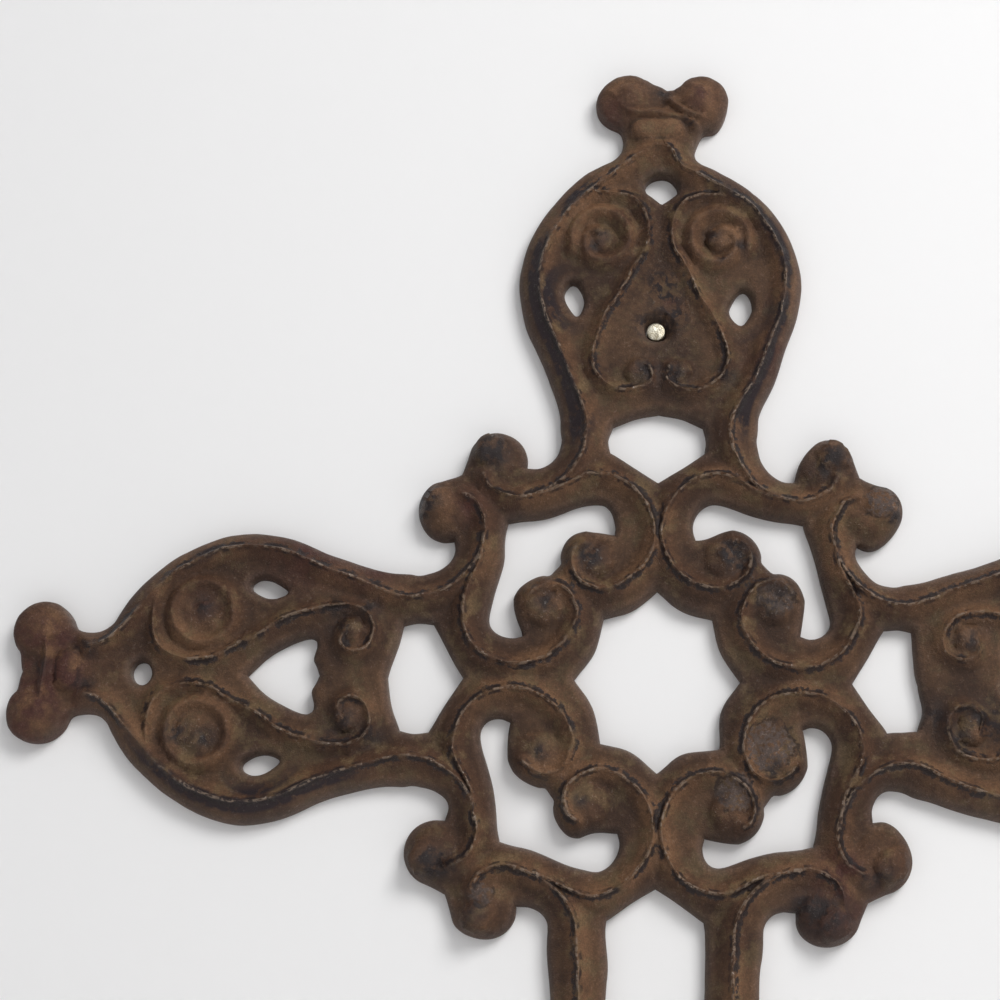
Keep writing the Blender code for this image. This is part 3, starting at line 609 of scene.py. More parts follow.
# Where the beads are rubbed away: the place, and how wide round it.
FADED_PLACES = (
    ((-19.7, 15.0), 3.6), ((-18.3, -14.5), 4.0), ((21.5, 18.2), 3.6), ((15.5, 24.0), 2.6),
    ((-13.0, 25.0), 2.4), ((-9.0, 63.0), 2.5), ((11.8, 70.0), 4.0), ((-1.0, 100.5), 2.5),
    ((-54.0, 8.5), 3.4), ((-54.0, -8.0), 3.4), ((54.0, 7.5), 3.0), ((53.5, -7.5), 3.0),
)


def group_of(kind, name, inputs, outputs):
    """A node tree with named inputs and outputs, and its two end nodes."""
    tree = bpy.data.node_groups.new(name, kind)
    for label, (socket, default) in inputs.items():
        made = tree.interface.new_socket(label, in_out="INPUT", socket_type=socket)
        if default is not None:
            made.default_value = default
    for label, socket in outputs.items():
        tree.interface.new_socket(label, in_out="OUTPUT", socket_type=socket)
    return tree, tree.nodes.new("NodeGroupInput").outputs, tree.nodes.new("NodeGroupOutput").inputs


def put(tree, kind, inputs=None, **settings):
    """A node with its settings, and its inputs linked or given values, by name or place."""
    made = tree.nodes.new(kind)
    for key, value in settings.items():
        setattr(made, key, value)
    for key, value in (inputs or {}).items():
        if isinstance(value, bpy.types.NodeSocket):
            tree.links.new(value, made.inputs[key])
        else:
            made.inputs[key].default_value = value
    return made


def maths(tree, operation, *values):
    """The result of one Math node."""
    kind = "ShaderNodeMath"
    return put(tree, kind, dict(enumerate(values)), operation=operation).outputs[0]


def times(tree, first, *others):
    """The product of two or more values."""
    for other in others:
        first = maths(tree, "MULTIPLY", first, other)
    return first


def vectors(tree, operation, first, second):
    """The result of one Vector Math node. SCALE takes a number second."""
    slot = "Scale" if operation == "SCALE" else 1
    made = put(tree, "ShaderNodeVectorMath", {0: first, slot: second}, operation=operation)
    return made.outputs["Value" if operation == "DOT_PRODUCT" else 0]


def noise(tree, place, scale, detail, roughness=0.5, output=0):
    """A noise's value, or its colour where OUTPUT is 1."""
    inputs = {"Vector": place, "Scale": scale, "Detail": detail, "Roughness": roughness}
    return put(tree, "ShaderNodeTexNoise", inputs).outputs[output]


def sideways(tree, colour, amount):
    """A noise's colour as a push of up to AMOUNT mm within the plane of the drawing."""
    push = vectors(tree, "SUBTRACT", colour, (0.5, 0.5, 0.5))
    push = vectors(tree, "MULTIPLY", push, (2 * MM, 0.0, 2 * MM))
    return vectors(tree, "SCALE", push, amount)


def ranged(tree, value, low, high, to_low=0.0, to_high=1.0, interpolation="LINEAR"):
    """The value carried from one range to another, and kept within it."""
    inputs = {0: value, 1: low, 2: high, 3: to_low, 4: to_high}
    return put(tree, "ShaderNodeMapRange", inputs, interpolation_type=interpolation).outputs[0]


def stored(tree, name):
    return put(tree, "GeometryNodeInputNamedAttribute", {"Name": name}).outputs["Attribute"]


def store(tree, geometry, name, value):
    inputs = {"Geometry": geometry, "Name": name, "Value": value}
    return put(tree, "GeometryNodeStoreNamedAttribute", inputs).outputs[0]


def end_tree(tree, geometry, material, socket):
    real = put(tree, "GeometryNodeRealizeInstances", {0: geometry}).outputs[0]
    painted = put(tree, "GeometryNodeSetMaterial", {"Geometry": real, "Material": material})
    tree.links.new(painted.outputs[0], socket)


def modify(obj, tree, values):
    """Runs a tree on an object with these inputs, and keeps the plain mesh that it makes."""
    modifier = obj.modifiers.new(tree.name, "NODES")
    modifier.node_group = tree
    for item in tree.interface.items_tree:
        if item.in_out == "INPUT" and item.name in values:
            modifier[item.identifier] = values[item.name]
    bpy.context.view_layer.update()
    made = bpy.data.meshes.new_from_object(obj.evaluated_get(bpy.context.evaluated_depsgraph_get()))
    obj.modifiers.clear()
    obj.data = made


def relief_tree():
    inputs = {"Sheet": ("NodeSocketGeometry", None), "Material": ("NodeSocketMaterial", None)}
    inputs |= {label: ("NodeSocketObject", None) for label in ("Edges", "Grooves", "Craters")}
    inputs |= {label: ("NodeSocketFloat", value) for label, value in RELIEF.items()}
    for shapes, labels in ((CRESTS, CREST_INPUTS), (DOMES, DOME_INPUTS)):
        for kind, values in shapes.items():
            inputs[kind + " Lines"] = ("NodeSocketObject", None)
            for label, value in zip(labels, values):
                inputs[f"{kind} {label}"] = ("NodeSocketFloat", value)
    tree, given, out = group_of("GeometryNodeTree", "Roof Relief", inputs, {"Sheet": "NodeSocketGeometry"})

    # The crest lines are met from a slightly shifted place, so that they wander as carved lines do.
    position = put(tree, "GeometryNodeInputPosition").outputs[0]
    scale = maths(tree, "DIVIDE", 1 / MM, given["Wobble Size"])
    wobble = sideways(tree, noise(tree, position, scale, 2.0, output=1), given["Wobble"])
    uneven = vectors(tree, "ADD", position, wobble)

    def distance_to(label, element="EDGES"):
        lines = put(tree, "GeometryNodeObjectInfo", {"Object": given[label]})
        near = put(tree, "GeometryNodeProximity", {0: lines.outputs["Geometry"]}, target_element=element)
        if label != "Edges":
            tree.links.new(uneven, near.inputs["Sample Position"])
        return maths(tree, "DIVIDE", near.outputs["Distance"], MM)

    def choose(test, other, winner):
        switch = put(tree, "GeometryNodeSwitch", {0: test, 1: other, 2: winner}, input_type="FLOAT")
        return switch.outputs[0]

    # The roofs: at each point the crest whose roof stands highest wins, from a start below them all.
    to_edge = distance_to("Edges")
    best, peak, near, beaded = -100.0, 0.0, 0.0, 0.0
    for kind in CRESTS:
        away, radius = distance_to(kind + " Lines"), given[kind + " Round"]
        away = maths(tree, "SQRT", maths(tree, "MULTIPLY_ADD", away, away, times(tree, radius, radius)))
        height = given[kind + " Height"]
        tent = maths(tree, "SUBTRACT", height, times(tree, away, given[kind + " Slope"]))
        wins = maths(tree, "GREATER_THAN", tent, best)
        best, peak, near = choose(wins, best, tent), choose(wins, peak, height), choose(wins, near, away)
        beaded = choose(wins, beaded, given[kind + " Bead"])
    raised = maths(tree, "SMOOTH_MAX", best, given["Floor Height"], given["Floor Softness"])
    reach = maths(tree, "MAXIMUM", maths(tree, "ADD", to_edge, near), 1e-4)
    swell = maths(tree, "POWER", maths(tree, "DIVIDE", to_edge, reach), given["Flank Swell"])
    rise = maths(tree, "SUBTRACT", peak, given["Rim Height"])
    flank = maths(tree, "MULTIPLY_ADD", rise, swell, given["Rim Height"])
    height = maths(tree, "MINIMUM", flank, raised)

    # The beads on the crests and the grooves beside them, worn away in patches.
    scale = maths(tree, "DIVIDE", 1 / MM, given["Wear Size"])
    worn = ranged(tree, noise(tree, position, scale, 3.0), *WORN_BEADS)
    worn = times(tree, worn, maths(tree, "SUBTRACT", 1.0, stored(tree, "faded")))
    beaded = times(tree, beaded, worn)

    def stripe(away, width):
        share = maths(tree, "DIVIDE", away, given[width])
        return times(tree, maths(tree, "EXPONENT", times(tree, share, share, -1.0)), beaded)

    to_groove = distance_to("Grooves")
    height = maths(tree, "ADD", height, times(tree, stripe(near, "Bead Width"), given["Bead Height"]))
    groove = times(tree, stripe(to_groove, "Groove Width"), given["Groove Depth"])
    height = maths(tree, "SUBTRACT", height, groove)

    # The domes, the crater round the pin, and the rounding of every edge.
    rough = 0.0
    to_dome = {kind: distance_to(kind + " Lines", "EDGES" if kind in BARS else "POINTS") for kind in DOMES}
    for kind, away in to_dome.items():
        share = maths(tree, "DIVIDE", away, given[kind + " Radius"])
        left = maths(tree, "SUBTRACT", 1.0, times(tree, share, share))
        swell = maths(tree, "SQRT", maths(tree, "MAXIMUM", left, 0.0))
        rise = maths(tree, "SUBTRACT", given[kind + " Top"], given[kind + " Foot"])
        dome = maths(tree, "MULTIPLY_ADD", rise, swell, given[kind + " Foot"])
        dome = choose(maths(tree, "GREATER_THAN", left, 0.0), 0.0, dome)
        height = maths(tree, "SMOOTH_MAX", height, dome, given["Dome Blend"])
        rough = maths(tree, "MAXIMUM", rough, times(tree, swell, given[kind + " Roughness"]))
    crater = ranged(tree, distance_to("Craters", "POINTS"), given["Crater Inner"], given["Crater Outer"],
                    given["Crater Bottom"], given["Crater Top"])
    height = maths(tree, "MINIMUM", height, crater)
    inward = maths(tree, "MINIMUM", maths(tree, "DIVIDE", to_edge, given["Rim Round"]), 1.0)
    turn = maths(tree, "SUBTRACT", 1.0, inward)
    arch = maths(tree, "SQRT", maths(tree, "SUBTRACT", 1.0, times(tree, turn, turn)))
    lost = times(tree, maths(tree, "SUBTRACT", 1.0, arch), given["Rim Drop"])
    height = maths(tree, "SUBTRACT", height, lost)

    sheet_now = given["Sheet"]
    for label, value in (("crest", near), ("groove", to_groove), ("beaded", beaded), ("edge", to_edge),
                         ("rough", rough), ("height", height), ("boss", to_dome["Boss"])):
        sheet_now = store(tree, sheet_now, label, value)
    forward = times(tree, height, stored(tree, "share"), -MM)
    offset = put(tree, "ShaderNodeCombineXYZ", {"Y": forward}).outputs[0]
    lifted = put(tree, "GeometryNodeSetPosition", {"Geometry": sheet_now, "Offset": offset}).outputs[0]
    end_tree(tree, lifted, given["Material"], out["Sheet"])
    return tree


def spotted(places):
    """How strongly each point of the flat drawing lies in the listed places, from 0 to 1."""
    strength = np.zeros(len(flat))
    for centre, reach in places:
        strength += np.exp(-((flat - centre)**2).sum(axis=1) / reach**2)
    return np.minimum(strength, 1.0).astype(np.float32)


faded = list(FADED_PLACES) + [(knob[0], KNOB_FADE) for knob in domes["Knob"]]
for arm in ARMS[1:]:
    for side in (1, -1):
        faded += [(in_arm([centre], arm, side)[0], reach) for centre, reach in FADED_OPEN]
cross.data.attributes.new("faded", "FLOAT", "POINT").data.foreach_set("value", spotted(faded))

wires = {}
for kind, lines in ({"Edges": outlines, "Grooves": grooves, "Craters": craters} | crests | domes).items():
    start, edges = 0, []
    for line in lines:
        if kind == "Edges":
            edges.append((start + len(line) - 1, start))
        if kind not in domes and kind != "Craters" or kind in BARS:
            edges += [(start + k, start + k + 1) for k in range(len(line) - 1)]
        start += len(line)
    label = kind + " Lines" if kind in crests or kind in domes else kind
    wires[label] = flat_mesh(kind.lower() + "_lines", np.vstack(lines), edges, [])
iron = bpy.data.materials.new("worn_brown_iron")
modify(cross, relief_tree(), wires | {"Material": iron})
for wire in wires.values():
    bpy.data.objects.remove(wire)


# The casting, its skin: lumps, grain and small pits that the sand leaves, and the slight unevenness of
# a pattern cut by hand. Nothing of it stands out past the flat back, which lay against the mould board.
SKIN = {
    "Lump Size": 5.0, "Lump Height": 0.4, "Grain Size": 1.5, "Grain Height": 0.2, "Clot Size": 2.3,
    "Clot Height": 2.8, "Pit Size": 2.6, "Pit Depth": 0.22, "Worm Size": 2.6, "Worm Depth": 0.25,
    "Rough Gain": 1.2, "Sway Size": 9.0, "Sway": 0.3, "Edge Calm": 0.3, "Seed": 4.0,
}
CLOT_MIDDLE = 0.47
PIT_WALL = (0.28, 0.08)
PIT_PATCHES = (0.5, 0.62, 0.0, 0.7)
PITTED_GAIN = 1.6
WORM_WALL = (0.08, 0.03)
# Painted shade: the finish darkens faces that turn this way, down and to the left, away from the key light,
# and lightens faces that turn up and right.
LEE_SIDE = (-0.66, 0.0, -0.75)
# Where the skin differs: the place, and how wide round it.
RUST_PLACES = (
    ((-112.0, 6.0), 8.0), ((-112.0, -8.0), 9.0), ((-50.0, 20.5), 6.0), ((-63.0, 22.5), 8.0),
    ((7.5, 111.5), 4.0), ((-9.5, 109.0), 4.0), ((31.0, -40.0), 7.0), ((32.0, -32.5), 4.5),
    ((2.5, 70.0), 2.0), ((20.0, 60.0), 5.0), ((-34.0, 31.0), 4.0), ((-82.0, 12.0), 3.0),
    ((-107.0, 0.0), 6.0),
)
# The dark places are partly dark patina on knobs and eyes, and partly painted shade in hollows, in the
# valleys beside the rings and round the pin's crater.
DARK_PLACES = (
    ((-42.0, 33.0), 3.0), ((-39.0, -32.5), 2.6), ((-35.5, -33.0), 2.0), ((-31.4, -41.0), 2.4),
    ((29.5, -41.0), 4.0), ((25.5, -39.5), 3.0), ((-0.1, 66.1), 3.4), ((-2.5, 57.2), 2.6),
    ((2.7, 56.6), 2.6), ((12.0, 56.5), 2.2), ((-85.0, -11.0), 2.6), ((-80.0, -12.0), 2.0),
    ((-10.6, 83.5), 1.4), ((-12.5, 81.3), 1.3), ((9.5, 83.5), 1.6), ((11.5, 79.3), 1.5),
    ((14.8, 81.3), 1.4), ((-81.5, 12.0), 2.0), ((13.0, 23.5), 1.8), ((15.2, 21.0), 1.8),
    ((-11.8, 22.0), 1.5), ((-20.5, -13.5), 1.8), ((42.0, 30.0), 1.6), ((-30.5, 42.0), 3.0),
    ((31.5, 41.5), 2.5), ((20.5, -15.5), 1.6), ((11.3, -20.8), 1.4), ((-13.2, -21.8), 1.4),
    ((13.5, 22.5), 3.2), ((-12.6, 22.0), 2.6), ((21.0, 14.5), 3.2), ((-20.0, 13.5), 2.4),
    ((-43.0, 31.0), 2.6), ((-29.5, 40.5), 2.6), ((30.0, 38.5), 2.4), ((-56.0, 8.5), 2.6),
    ((-51.5, 12.0), 2.0), ((-55.5, -8.0), 2.6), ((-50.5, -11.0), 2.0), ((-58.0, 12.5), 1.8),
    ((-58.5, -12.0), 1.8), ((54.5, 7.5), 2.6), ((52.0, -10.0), 2.4), ((56.0, -5.5), 2.2),
    ((48.5, -6.0), 2.6), ((-101.6, 4.0), 1.7), ((-101.8, -3.0), 1.7), ((-104.0, 4.6), 1.3),
    ((-110.5, 0.5), 1.6), ((0.3, 113.0), 1.8), ((5.2, 106.4), 1.3), ((39.0, -33.6), 1.5),
    ((36.5, -34.6), 1.5), ((-38.5, -33.5), 2.2),
)
# Painted shade with soot: a dark band along the outer flanks, most of it where they face down and away from
# the light.
SHADE_AND_SOOT_PLACES = (
    ((-100.0, -12.0), 5.0), ((-94.0, -18.0), 4.5), ((-88.0, -21.5), 4.5), ((-82.0, -23.5), 4.5),
    ((-76.0, -24.5), 4.2), ((-69.5, -24.0), 4.0), ((-63.0, -21.5), 3.6), ((-57.0, -19.0), 3.6),
    ((-25.5, 80.0), 5.0), ((-25.0, 72.0), 6.0), ((-22.5, 63.0), 6.0), ((-18.5, 54.0), 5.0),
    ((-16.0, 47.0), 4.0), ((25.5, 80.0), 5.0), ((24.0, 68.0), 4.0), ((20.5, 58.0), 6.0),
    ((18.0, 49.0), 5.0), ((22.5, 87.0), 4.0), ((16.0, 94.0), 4.0), ((70.0, -22.0), 8.0),
    ((-82.0, 24.5), 4.0), ((-17.0, 93.0), 4.0),
)
PAD_PLACES = (
    ((19.6, -11.6), 4.8), ((13.6, -20.3), 3.6), ((40.1, 32.6), 3.5), ((21.2, 14.8), 3.6),
    ((-30.0, -38.5), 2.4),
)
PITTED_PLACES = (
    ((1.5, 71.5), 3.4), ((0.0, 75.0), 2.4), ((3.4, 67.6), 1.8), ((-3.0, 66.5), 1.8), ((58.0, -7.0), 4.0),
)


def skin_tree():
    inputs = {"Casting": ("NodeSocketGeometry", None), "Low Corner": ("NodeSocketVector", None),
              "High Corner": ("NodeSocketVector", None), "Material": ("NodeSocketMaterial", None)}
    inputs |= {label: ("NodeSocketFloat", value) for label, value in SKIN.items()}
    tree, given, out = group_of("GeometryNodeTree", "Sand Skin", inputs, {"Casting": "NodeSocketGeometry"})
    position = put(tree, "GeometryNodeInputPosition").outputs[0]
    in_mm = vectors(tree, "SCALE", position, 1 / MM)

    def sand(label, detail, output=0):
        scale = maths(tree, "DIVIDE", 1.0, given[label])
        inputs = {"Vector": in_mm, "W": given["Seed"], "Scale": scale, "Detail": detail}
        return put(tree, "ShaderNodeTexNoise", inputs, noise_dimensions="4D").outputs[output]

    def bumps(size, height, middle=0.5):
        return times(tree, maths(tree, "SUBTRACT", sand(size, 2.0), middle), given[height])

    pitted, rough = stored(tree, "pitted"), stored(tree, "rough")
    scale = maths(tree, "DIVIDE", 1.0, given["Pit Size"])
    cells = put(tree, "ShaderNodeTexVoronoi", {"Vector": in_mm, "Scale": scale}).outputs["Distance"]
    pit = ranged(tree, cells, *PIT_WALL, interpolation="SMOOTHSTEP")
    patchy = ranged(tree, sand("Sway Size", 3.0), *PIT_PATCHES)
    patchy = maths(tree, "MAXIMUM", patchy, times(tree, pitted, PITTED_GAIN))
    bend = maths(tree, "ABSOLUTE", maths(tree, "SUBTRACT", sand("Worm Size", 1.0), 0.5))
    worm = times(tree, ranged(tree, bend, *WORM_WALL), pitted, given["Worm Depth"])
    pits = maths(tree, "ADD", times(tree, pit, patchy, given["Pit Depth"]), worm)
    clots = times(tree, bumps("Clot Size", "Clot Height", CLOT_MIDDLE), rough)
    grainy = maths(tree, "MULTIPLY_ADD", rough, given["Rough Gain"], 1.0)
    grain = times(tree, bumps("Grain Size", "Grain Height"), grainy)
    total = maths(tree, "ADD", bumps("Lump Size", "Lump Height"), grain)
    total = maths(tree, "ADD", maths(tree, "SUBTRACT", total, pits), clots)
    calm = ranged(tree, stored(tree, "edge"), 0.0, 1.0, given["Edge Calm"], 1.0)

    normal = put(tree, "GeometryNodeInputNormal").outputs[0]
    moved = vectors(tree, "ADD", position, vectors(tree, "SCALE", normal, times(tree, total, calm, MM)))
    moved = vectors(tree, "ADD", moved, sideways(tree, sand("Sway Size", 1.0, 1), given["Sway"]))
    moved = vectors(tree, "MAXIMUM", moved, given["Low Corner"])
    moved = vectors(tree, "MINIMUM", moved, given["High Corner"])
    placed = put(tree, "GeometryNodeSetPosition", {"Geometry": given["Casting"], "Position": moved})
    # How far each face turns towards the lee side, kept for the painted shade in the finish.
    marked = store(tree, placed.outputs[0], "lee", vectors(tree, "DOT_PRODUCT", normal, LEE_SIDE))
    end_tree(tree, marked, given["Material"], out["Casting"])
    return tree


for label, places in (("rust", RUST_PLACES), ("dark", DARK_PLACES), ("shade_and_soot", SHADE_AND_SOOT_PLACES),
                      ("pad", PAD_PLACES), ("pitted", PITTED_PLACES)):
    cross.data.attributes.new(label, "FLOAT", "POINT").data.foreach_set("value", spotted(places))


# The casting, its finish: an even coat of brown rust with olive dust on the floors, red rust on the ends,
# bare iron where the crests have been rubbed, and painted light and shade: painted shade with soot along
# the outer flanks, dark paint with painted shade in the grooves, painted shade on the lee side, darker
# floors and lighter crests by height, a painted sheen near the edges and painted glints.
def srgb(red, green, blue):
    """A colour as the eye names it, 0 to 255, as the shader takes it."""
    share = [c / 255 for c in (red, green, blue)]
    return (*[c / 12.92 if c <= 0.04045 else ((c + 0.055) / 1.055)**2.4 for c in share], 1.0)


BROWN = srgb(101, 72, 49)
UMBER = srgb(69, 45, 29)
OLIVE = srgb(98, 78, 53)
RUST = srgb(68, 38, 30)
# Black for dark worn spots and pits, and for painted shade in the grooves, round the pads and the bosses
# and in hollows.
BLACK_WEAR_AND_SHADE = srgb(30, 19, 18)
PURPLE_BLACK = srgb(34, 23, 26)
BARE_IRON = srgb(134, 116, 100)
PAD_GREY = srgb(84, 70, 63)
GLINT = srgb(205, 195, 186)
# Painted sheen: the grey that the outer flanks near the edges take on from the pale wall.
PAINTED_SHEEN_GREY = srgb(88, 72, 64)
IRON_SHINE = 0.35
IRON_GRAIN = {"Coarse Size": 0.9, "Fine Size": 0.28, "Fine Share": 0.55}
# Each noise: its size in mm, its detail and its roughness.
IRON_NOISES = {
    "patches": (14.0, 4.0, 0.62), "stains": (5.0, 5.0, 0.7), "chips": (1.6, 3.0, 0.5),
    "crumbs": (0.8, 2.0, 0.5), "worms": (2.2, 1.0, 0.5),
}
# Each effect: where it starts and is full, on its noise or in mm, and its strength at either end.
EFFECTS = {
    "brown over umber": (0.40, 0.60), "olive dust": (0.48, 0.64, 0.0, 0.85), "off the edge": (0.8, 2.2),
    "crest light": (3.1, 5.0, 0.7, 1.2), "painted edge sheen": (1.9, 0.3, 0.0, 0.55),
    "lee shade": (-0.45, 0.45, 1.04, 0.7), "red patches": (0.60, 0.72, 0.0, 0.4), "red stains": (0.35, 0.6),
    "ragged pad": (0.3, 0.7, -0.12, 0.12), "pad": (0.45, 0.6), "pad crumbs": (0.36, 0.56, 0.15, 1.0),
    "speckle": (0.38, 0.60, 0.78, 1.2), "shade and soot in": (1.2, 2.2), "shade and soot out": (4.6, 3.4),
    "shade and soot chips": (0.34, 0.5, 0.5, 1.5), "dark chips": (0.40, 0.56, 0.4, 1.0), "pad rim in": (0.3, 0.42),
    "pad rim out": (0.56, 0.46), "pad rim stains": (0.44, 0.58, 0.0, 0.75), "boss rim": (0.45, 0.15),
    "boss rim stains": (0.42, 0.58, 0.0, 0.5), "groove stains": (0.35, 0.65, 0.32, 0.62),
    "groove chips": (0.35, 0.6, 0.6, 1.2), "groove jags": (0.3, 0.7, -0.3, 0.3), "groove": (1.15, 0.45),
    "groove depth": (0.1, 0.5, 0.0, 0.92), "inner line": (0.34, 0.1),
    "inner chips": (0.46, 0.56, 0.0, 0.85), "bead": (0.36, 0.12), "bead crumbs": (0.44, 0.56, 0.05, 0.9),
    "worm": (0.12, 0.05), "worm chips": (0.4, 0.5), "glints": (0.57, 0.66),
}
BOSS_RIM_AWAY = 2.1
INNER_LINE_AWAY = 0.5
ROUGH_GLINT = 0.16
LEAST_GLINT = 0.07
DULLNESS = 0.64
POLISH = -0.25
GRAIN_DULLNESS = 0.1
SHARP_ANGLE = 55


def grain_group():
    """Fine grain of two sizes, as a value about a half and as a height for bump."""
    inputs = {"Position": ("NodeSocketVector", None), "Coarse Size": ("NodeSocketFloat", 1.0),
              "Fine Size": ("NodeSocketFloat", 0.3), "Fine Share": ("NodeSocketFloat", 0.5)}
    outputs = {"Grain": "NodeSocketFloat", "Height": "NodeSocketFloat"}
    tree, given, out = group_of("ShaderNodeTree", "Grain", inputs, outputs)
    coarse, fine = [noise(tree, given["Position"], maths(tree, "DIVIDE", 1.0, given[label]), 3.0, 0.6)
                    for label in ("Coarse Size", "Fine Size")]
    mixed = put(tree, "ShaderNodeMix", {0: given["Fine Share"], 2: coarse, 3: fine}, data_type="FLOAT")
    tree.links.new(mixed.outputs[0], out["Grain"])
    tree.links.new(times(tree, mixed.outputs[0], MM), out["Height"])
    return tree


grain = grain_group()


def blend_colours(tree, share, first, second):
    return put(tree, "ShaderNodeMix", {0: share, 6: first, 7: second}, data_type="RGBA").outputs[2]


def eased(tree, value, *limits):
    return ranged(tree, value, *limits, interpolation="SMOOTHSTEP")


iron.use_nodes = True
tree = iron.node_tree
shader = tree.nodes["Principled BSDF"]
shader.inputs["Specular IOR Level"].default_value = IRON_SHINE
in_mm = vectors(tree, "SCALE", put(tree, "ShaderNodeTexCoord").outputs["Object"], 1 / MM)
sand = put(tree, "ShaderNodeGroup", {"Position": in_mm} | IRON_GRAIN, node_tree=grain).outputs
patches, stains, chips, crumbs, worms = [
    noise(tree, in_mm, 1 / size, detail, roughness) for size, detail, roughness in IRON_NOISES.values()]
on = {label: put(tree, "ShaderNodeAttribute", attribute_name=label).outputs["Fac"]
      for label in ("crest", "groove", "beaded", "edge", "height", "boss", "rough", "rust", "dark", "shade_and_soot",
                    "lee", "pad", "pitted")}


def effect(name, value):
    return eased(tree, value, *EFFECTS[name])


def gap(value, middle):
    return maths(tree, "ABSOLUTE", maths(tree, "SUBTRACT", value, middle))


colour = blend_colours(tree, effect("brown over umber", patches), UMBER, BROWN)
colour = blend_colours(tree, effect("olive dust", stains), colour, OLIVE)
# Painted light and shade: away from the edges the colour is darker on the low floors and lighter on the
# high crests, by height alone.
light = {0: effect("off the edge", on["edge"]), 2: 1.0, 3: effect("crest light", on["height"])}
colour = vectors(tree, "SCALE", colour, put(tree, "ShaderNodeMix", light, data_type="FLOAT").outputs[0])
# Painted sheen: within about 2 mm of every edge the colour greys, standing in for the pale wall's light
# caught by the outer flanks at a grazing angle.
colour = blend_colours(tree, effect("painted edge sheen", on["edge"]), colour, PAINTED_SHEEN_GREY)
# Painted shade: flanks that face down and left, away from the key light, are darker, and flanks that face
# up and right are a little lighter.
colour = vectors(tree, "SCALE", colour, effect("lee shade", on["lee"]))
rusty = maths(tree, "ADD", on["rust"], effect("red patches", patches))
colour = blend_colours(tree, times(tree, rusty, effect("red stains", stains)), colour, RUST)
ragged = maths(tree, "ADD", on["pad"], effect("ragged pad", chips))
pad = effect("pad", ragged)
colour = blend_colours(tree, times(tree, pad, effect("pad crumbs", crumbs)), colour, PAD_GREY)
colour = vectors(tree, "SCALE", colour, effect("speckle", sand["Grain"]))

# Painted shade with soot on the outer flanks, from 1.2 to 4.6 mm in from the edge, in the listed places.
band = times(tree, effect("shade and soot in", on["edge"]), effect("shade and soot out", on["edge"]), on["shade_and_soot"],
             effect("shade and soot chips", chips))
# Painted shade and dark patina in the listed dark places.
dark_and_shade = times(tree, on["dark"], effect("dark chips", chips))
# Painted shade: a dark line round each grey pad, standing in for the shadow at the edge of a raised button.
pad_rim = times(tree, effect("pad rim in", ragged), effect("pad rim out", ragged))
pad_rim = times(tree, pad_rim, effect("pad rim stains", stains))
# Painted shade: a dark ring about 2 mm out from the boss's middle line, round its foot.
boss_rim = effect("boss rim", gap(on["boss"], BOSS_RIM_AWAY))
boss_rim = times(tree, boss_rim, effect("boss rim stains", stains))
# Dark paint with painted shade in the grooves beside the crests, and a thinner dark line of the same 0.5 mm
# to either side of each beaded crest.
width = times(tree, effect("groove stains", stains), effect("groove chips", chips))
groove = maths(tree, "DIVIDE", maths(tree, "ADD", on["groove"], effect("groove jags", crumbs)), width)
groove = times(tree, effect("groove", groove), effect("groove depth", on["beaded"]))
inner = effect("inner line", gap(on["crest"], INNER_LINE_AWAY))
inner = times(tree, inner, effect("inner chips", chips), on["beaded"])
bead = times(tree, effect("bead", on["crest"]), on["beaded"], effect("bead crumbs", crumbs))
worm = times(tree, effect("worm", gap(worms, 0.5)), on["pitted"], effect("worm chips", chips))
# Painted glints: tiny light flecks on the beads, the rough domes and the pads, and faint ones everywhere.
catching = maths(tree, "MAXIMUM", bead, times(tree, maths(tree, "MAXIMUM", on["rough"], pad), ROUGH_GLINT))
catching = maths(tree, "MAXIMUM", catching, LEAST_GLINT)
glints = times(tree, effect("glints", sand["Grain"]), catching)
for share, tint in ((band, PURPLE_BLACK), (dark_and_shade, BLACK_WEAR_AND_SHADE), (pad_rim, BLACK_WEAR_AND_SHADE), (boss_rim, BLACK_WEAR_AND_SHADE),
                    (groove, BLACK_WEAR_AND_SHADE), (inner, BLACK_WEAR_AND_SHADE), (bead, BARE_IRON), (worm, BLACK_WEAR_AND_SHADE),
                    (glints, GLINT)):
    colour = blend_colours(tree, share, colour, tint)
tree.links.new(colour, shader.inputs["Base Color"])
rubbed = maths(tree, "MAXIMUM", maths(tree, "MAXIMUM", bead, groove), on["dark"])
dullness = maths(tree, "MULTIPLY_ADD", rubbed, POLISH, DULLNESS)
dullness = maths(tree, "MULTIPLY_ADD", sand["Grain"], GRAIN_DULLNESS, dullness)
tree.links.new(dullness, shader.inputs["Roughness"])
bump = put(tree, "ShaderNodeBump", {"Height": sand["Height"], "Strength": 0.8, "Distance": 0.5})
tree.links.new(bump.outputs[0], shader.inputs["Normal"])

low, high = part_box("cross_casting")
modify(cross, skin_tree(), SKIN | {"Low Corner": low, "High Corner": high, "Material": iron})
cross.data.polygons.foreach_set("use_smooth", [True] * len(cross.data.polygons))
cross.data.set_sharp_from_angle(angle=math.radians(SHARP_ANGLE))
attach(cross, "root")
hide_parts("cross_casting")


# The hanging rivet: a short pin of bare steel through the heart of the top lobe, which holds the cross to
# the wall. It is cut off with snips, and its bright end stands in a crater in the iron, darkened round
# with painted shade.
RIVET_FACE = 2.3
RIVET_SIDES = 48
RIVET_RINGS = (
    (0.0, 0.0), (1.0, 0.0), (1.0, 0.86), (0.985, 0.93), (0.94, 0.965), (0.8, 0.985), (0.45, 1.0),
    (0.0, 1.0),
)
DENT_DEPTH = 0.06
DENT_TURN = 0.8
STEEL = srgb(214, 208, 190)
STEEL_SHADE = srgb(150, 140, 118)
STEEL_GRAIN = {"Coarse Size": 1.2, "Fine Size": 0.25}

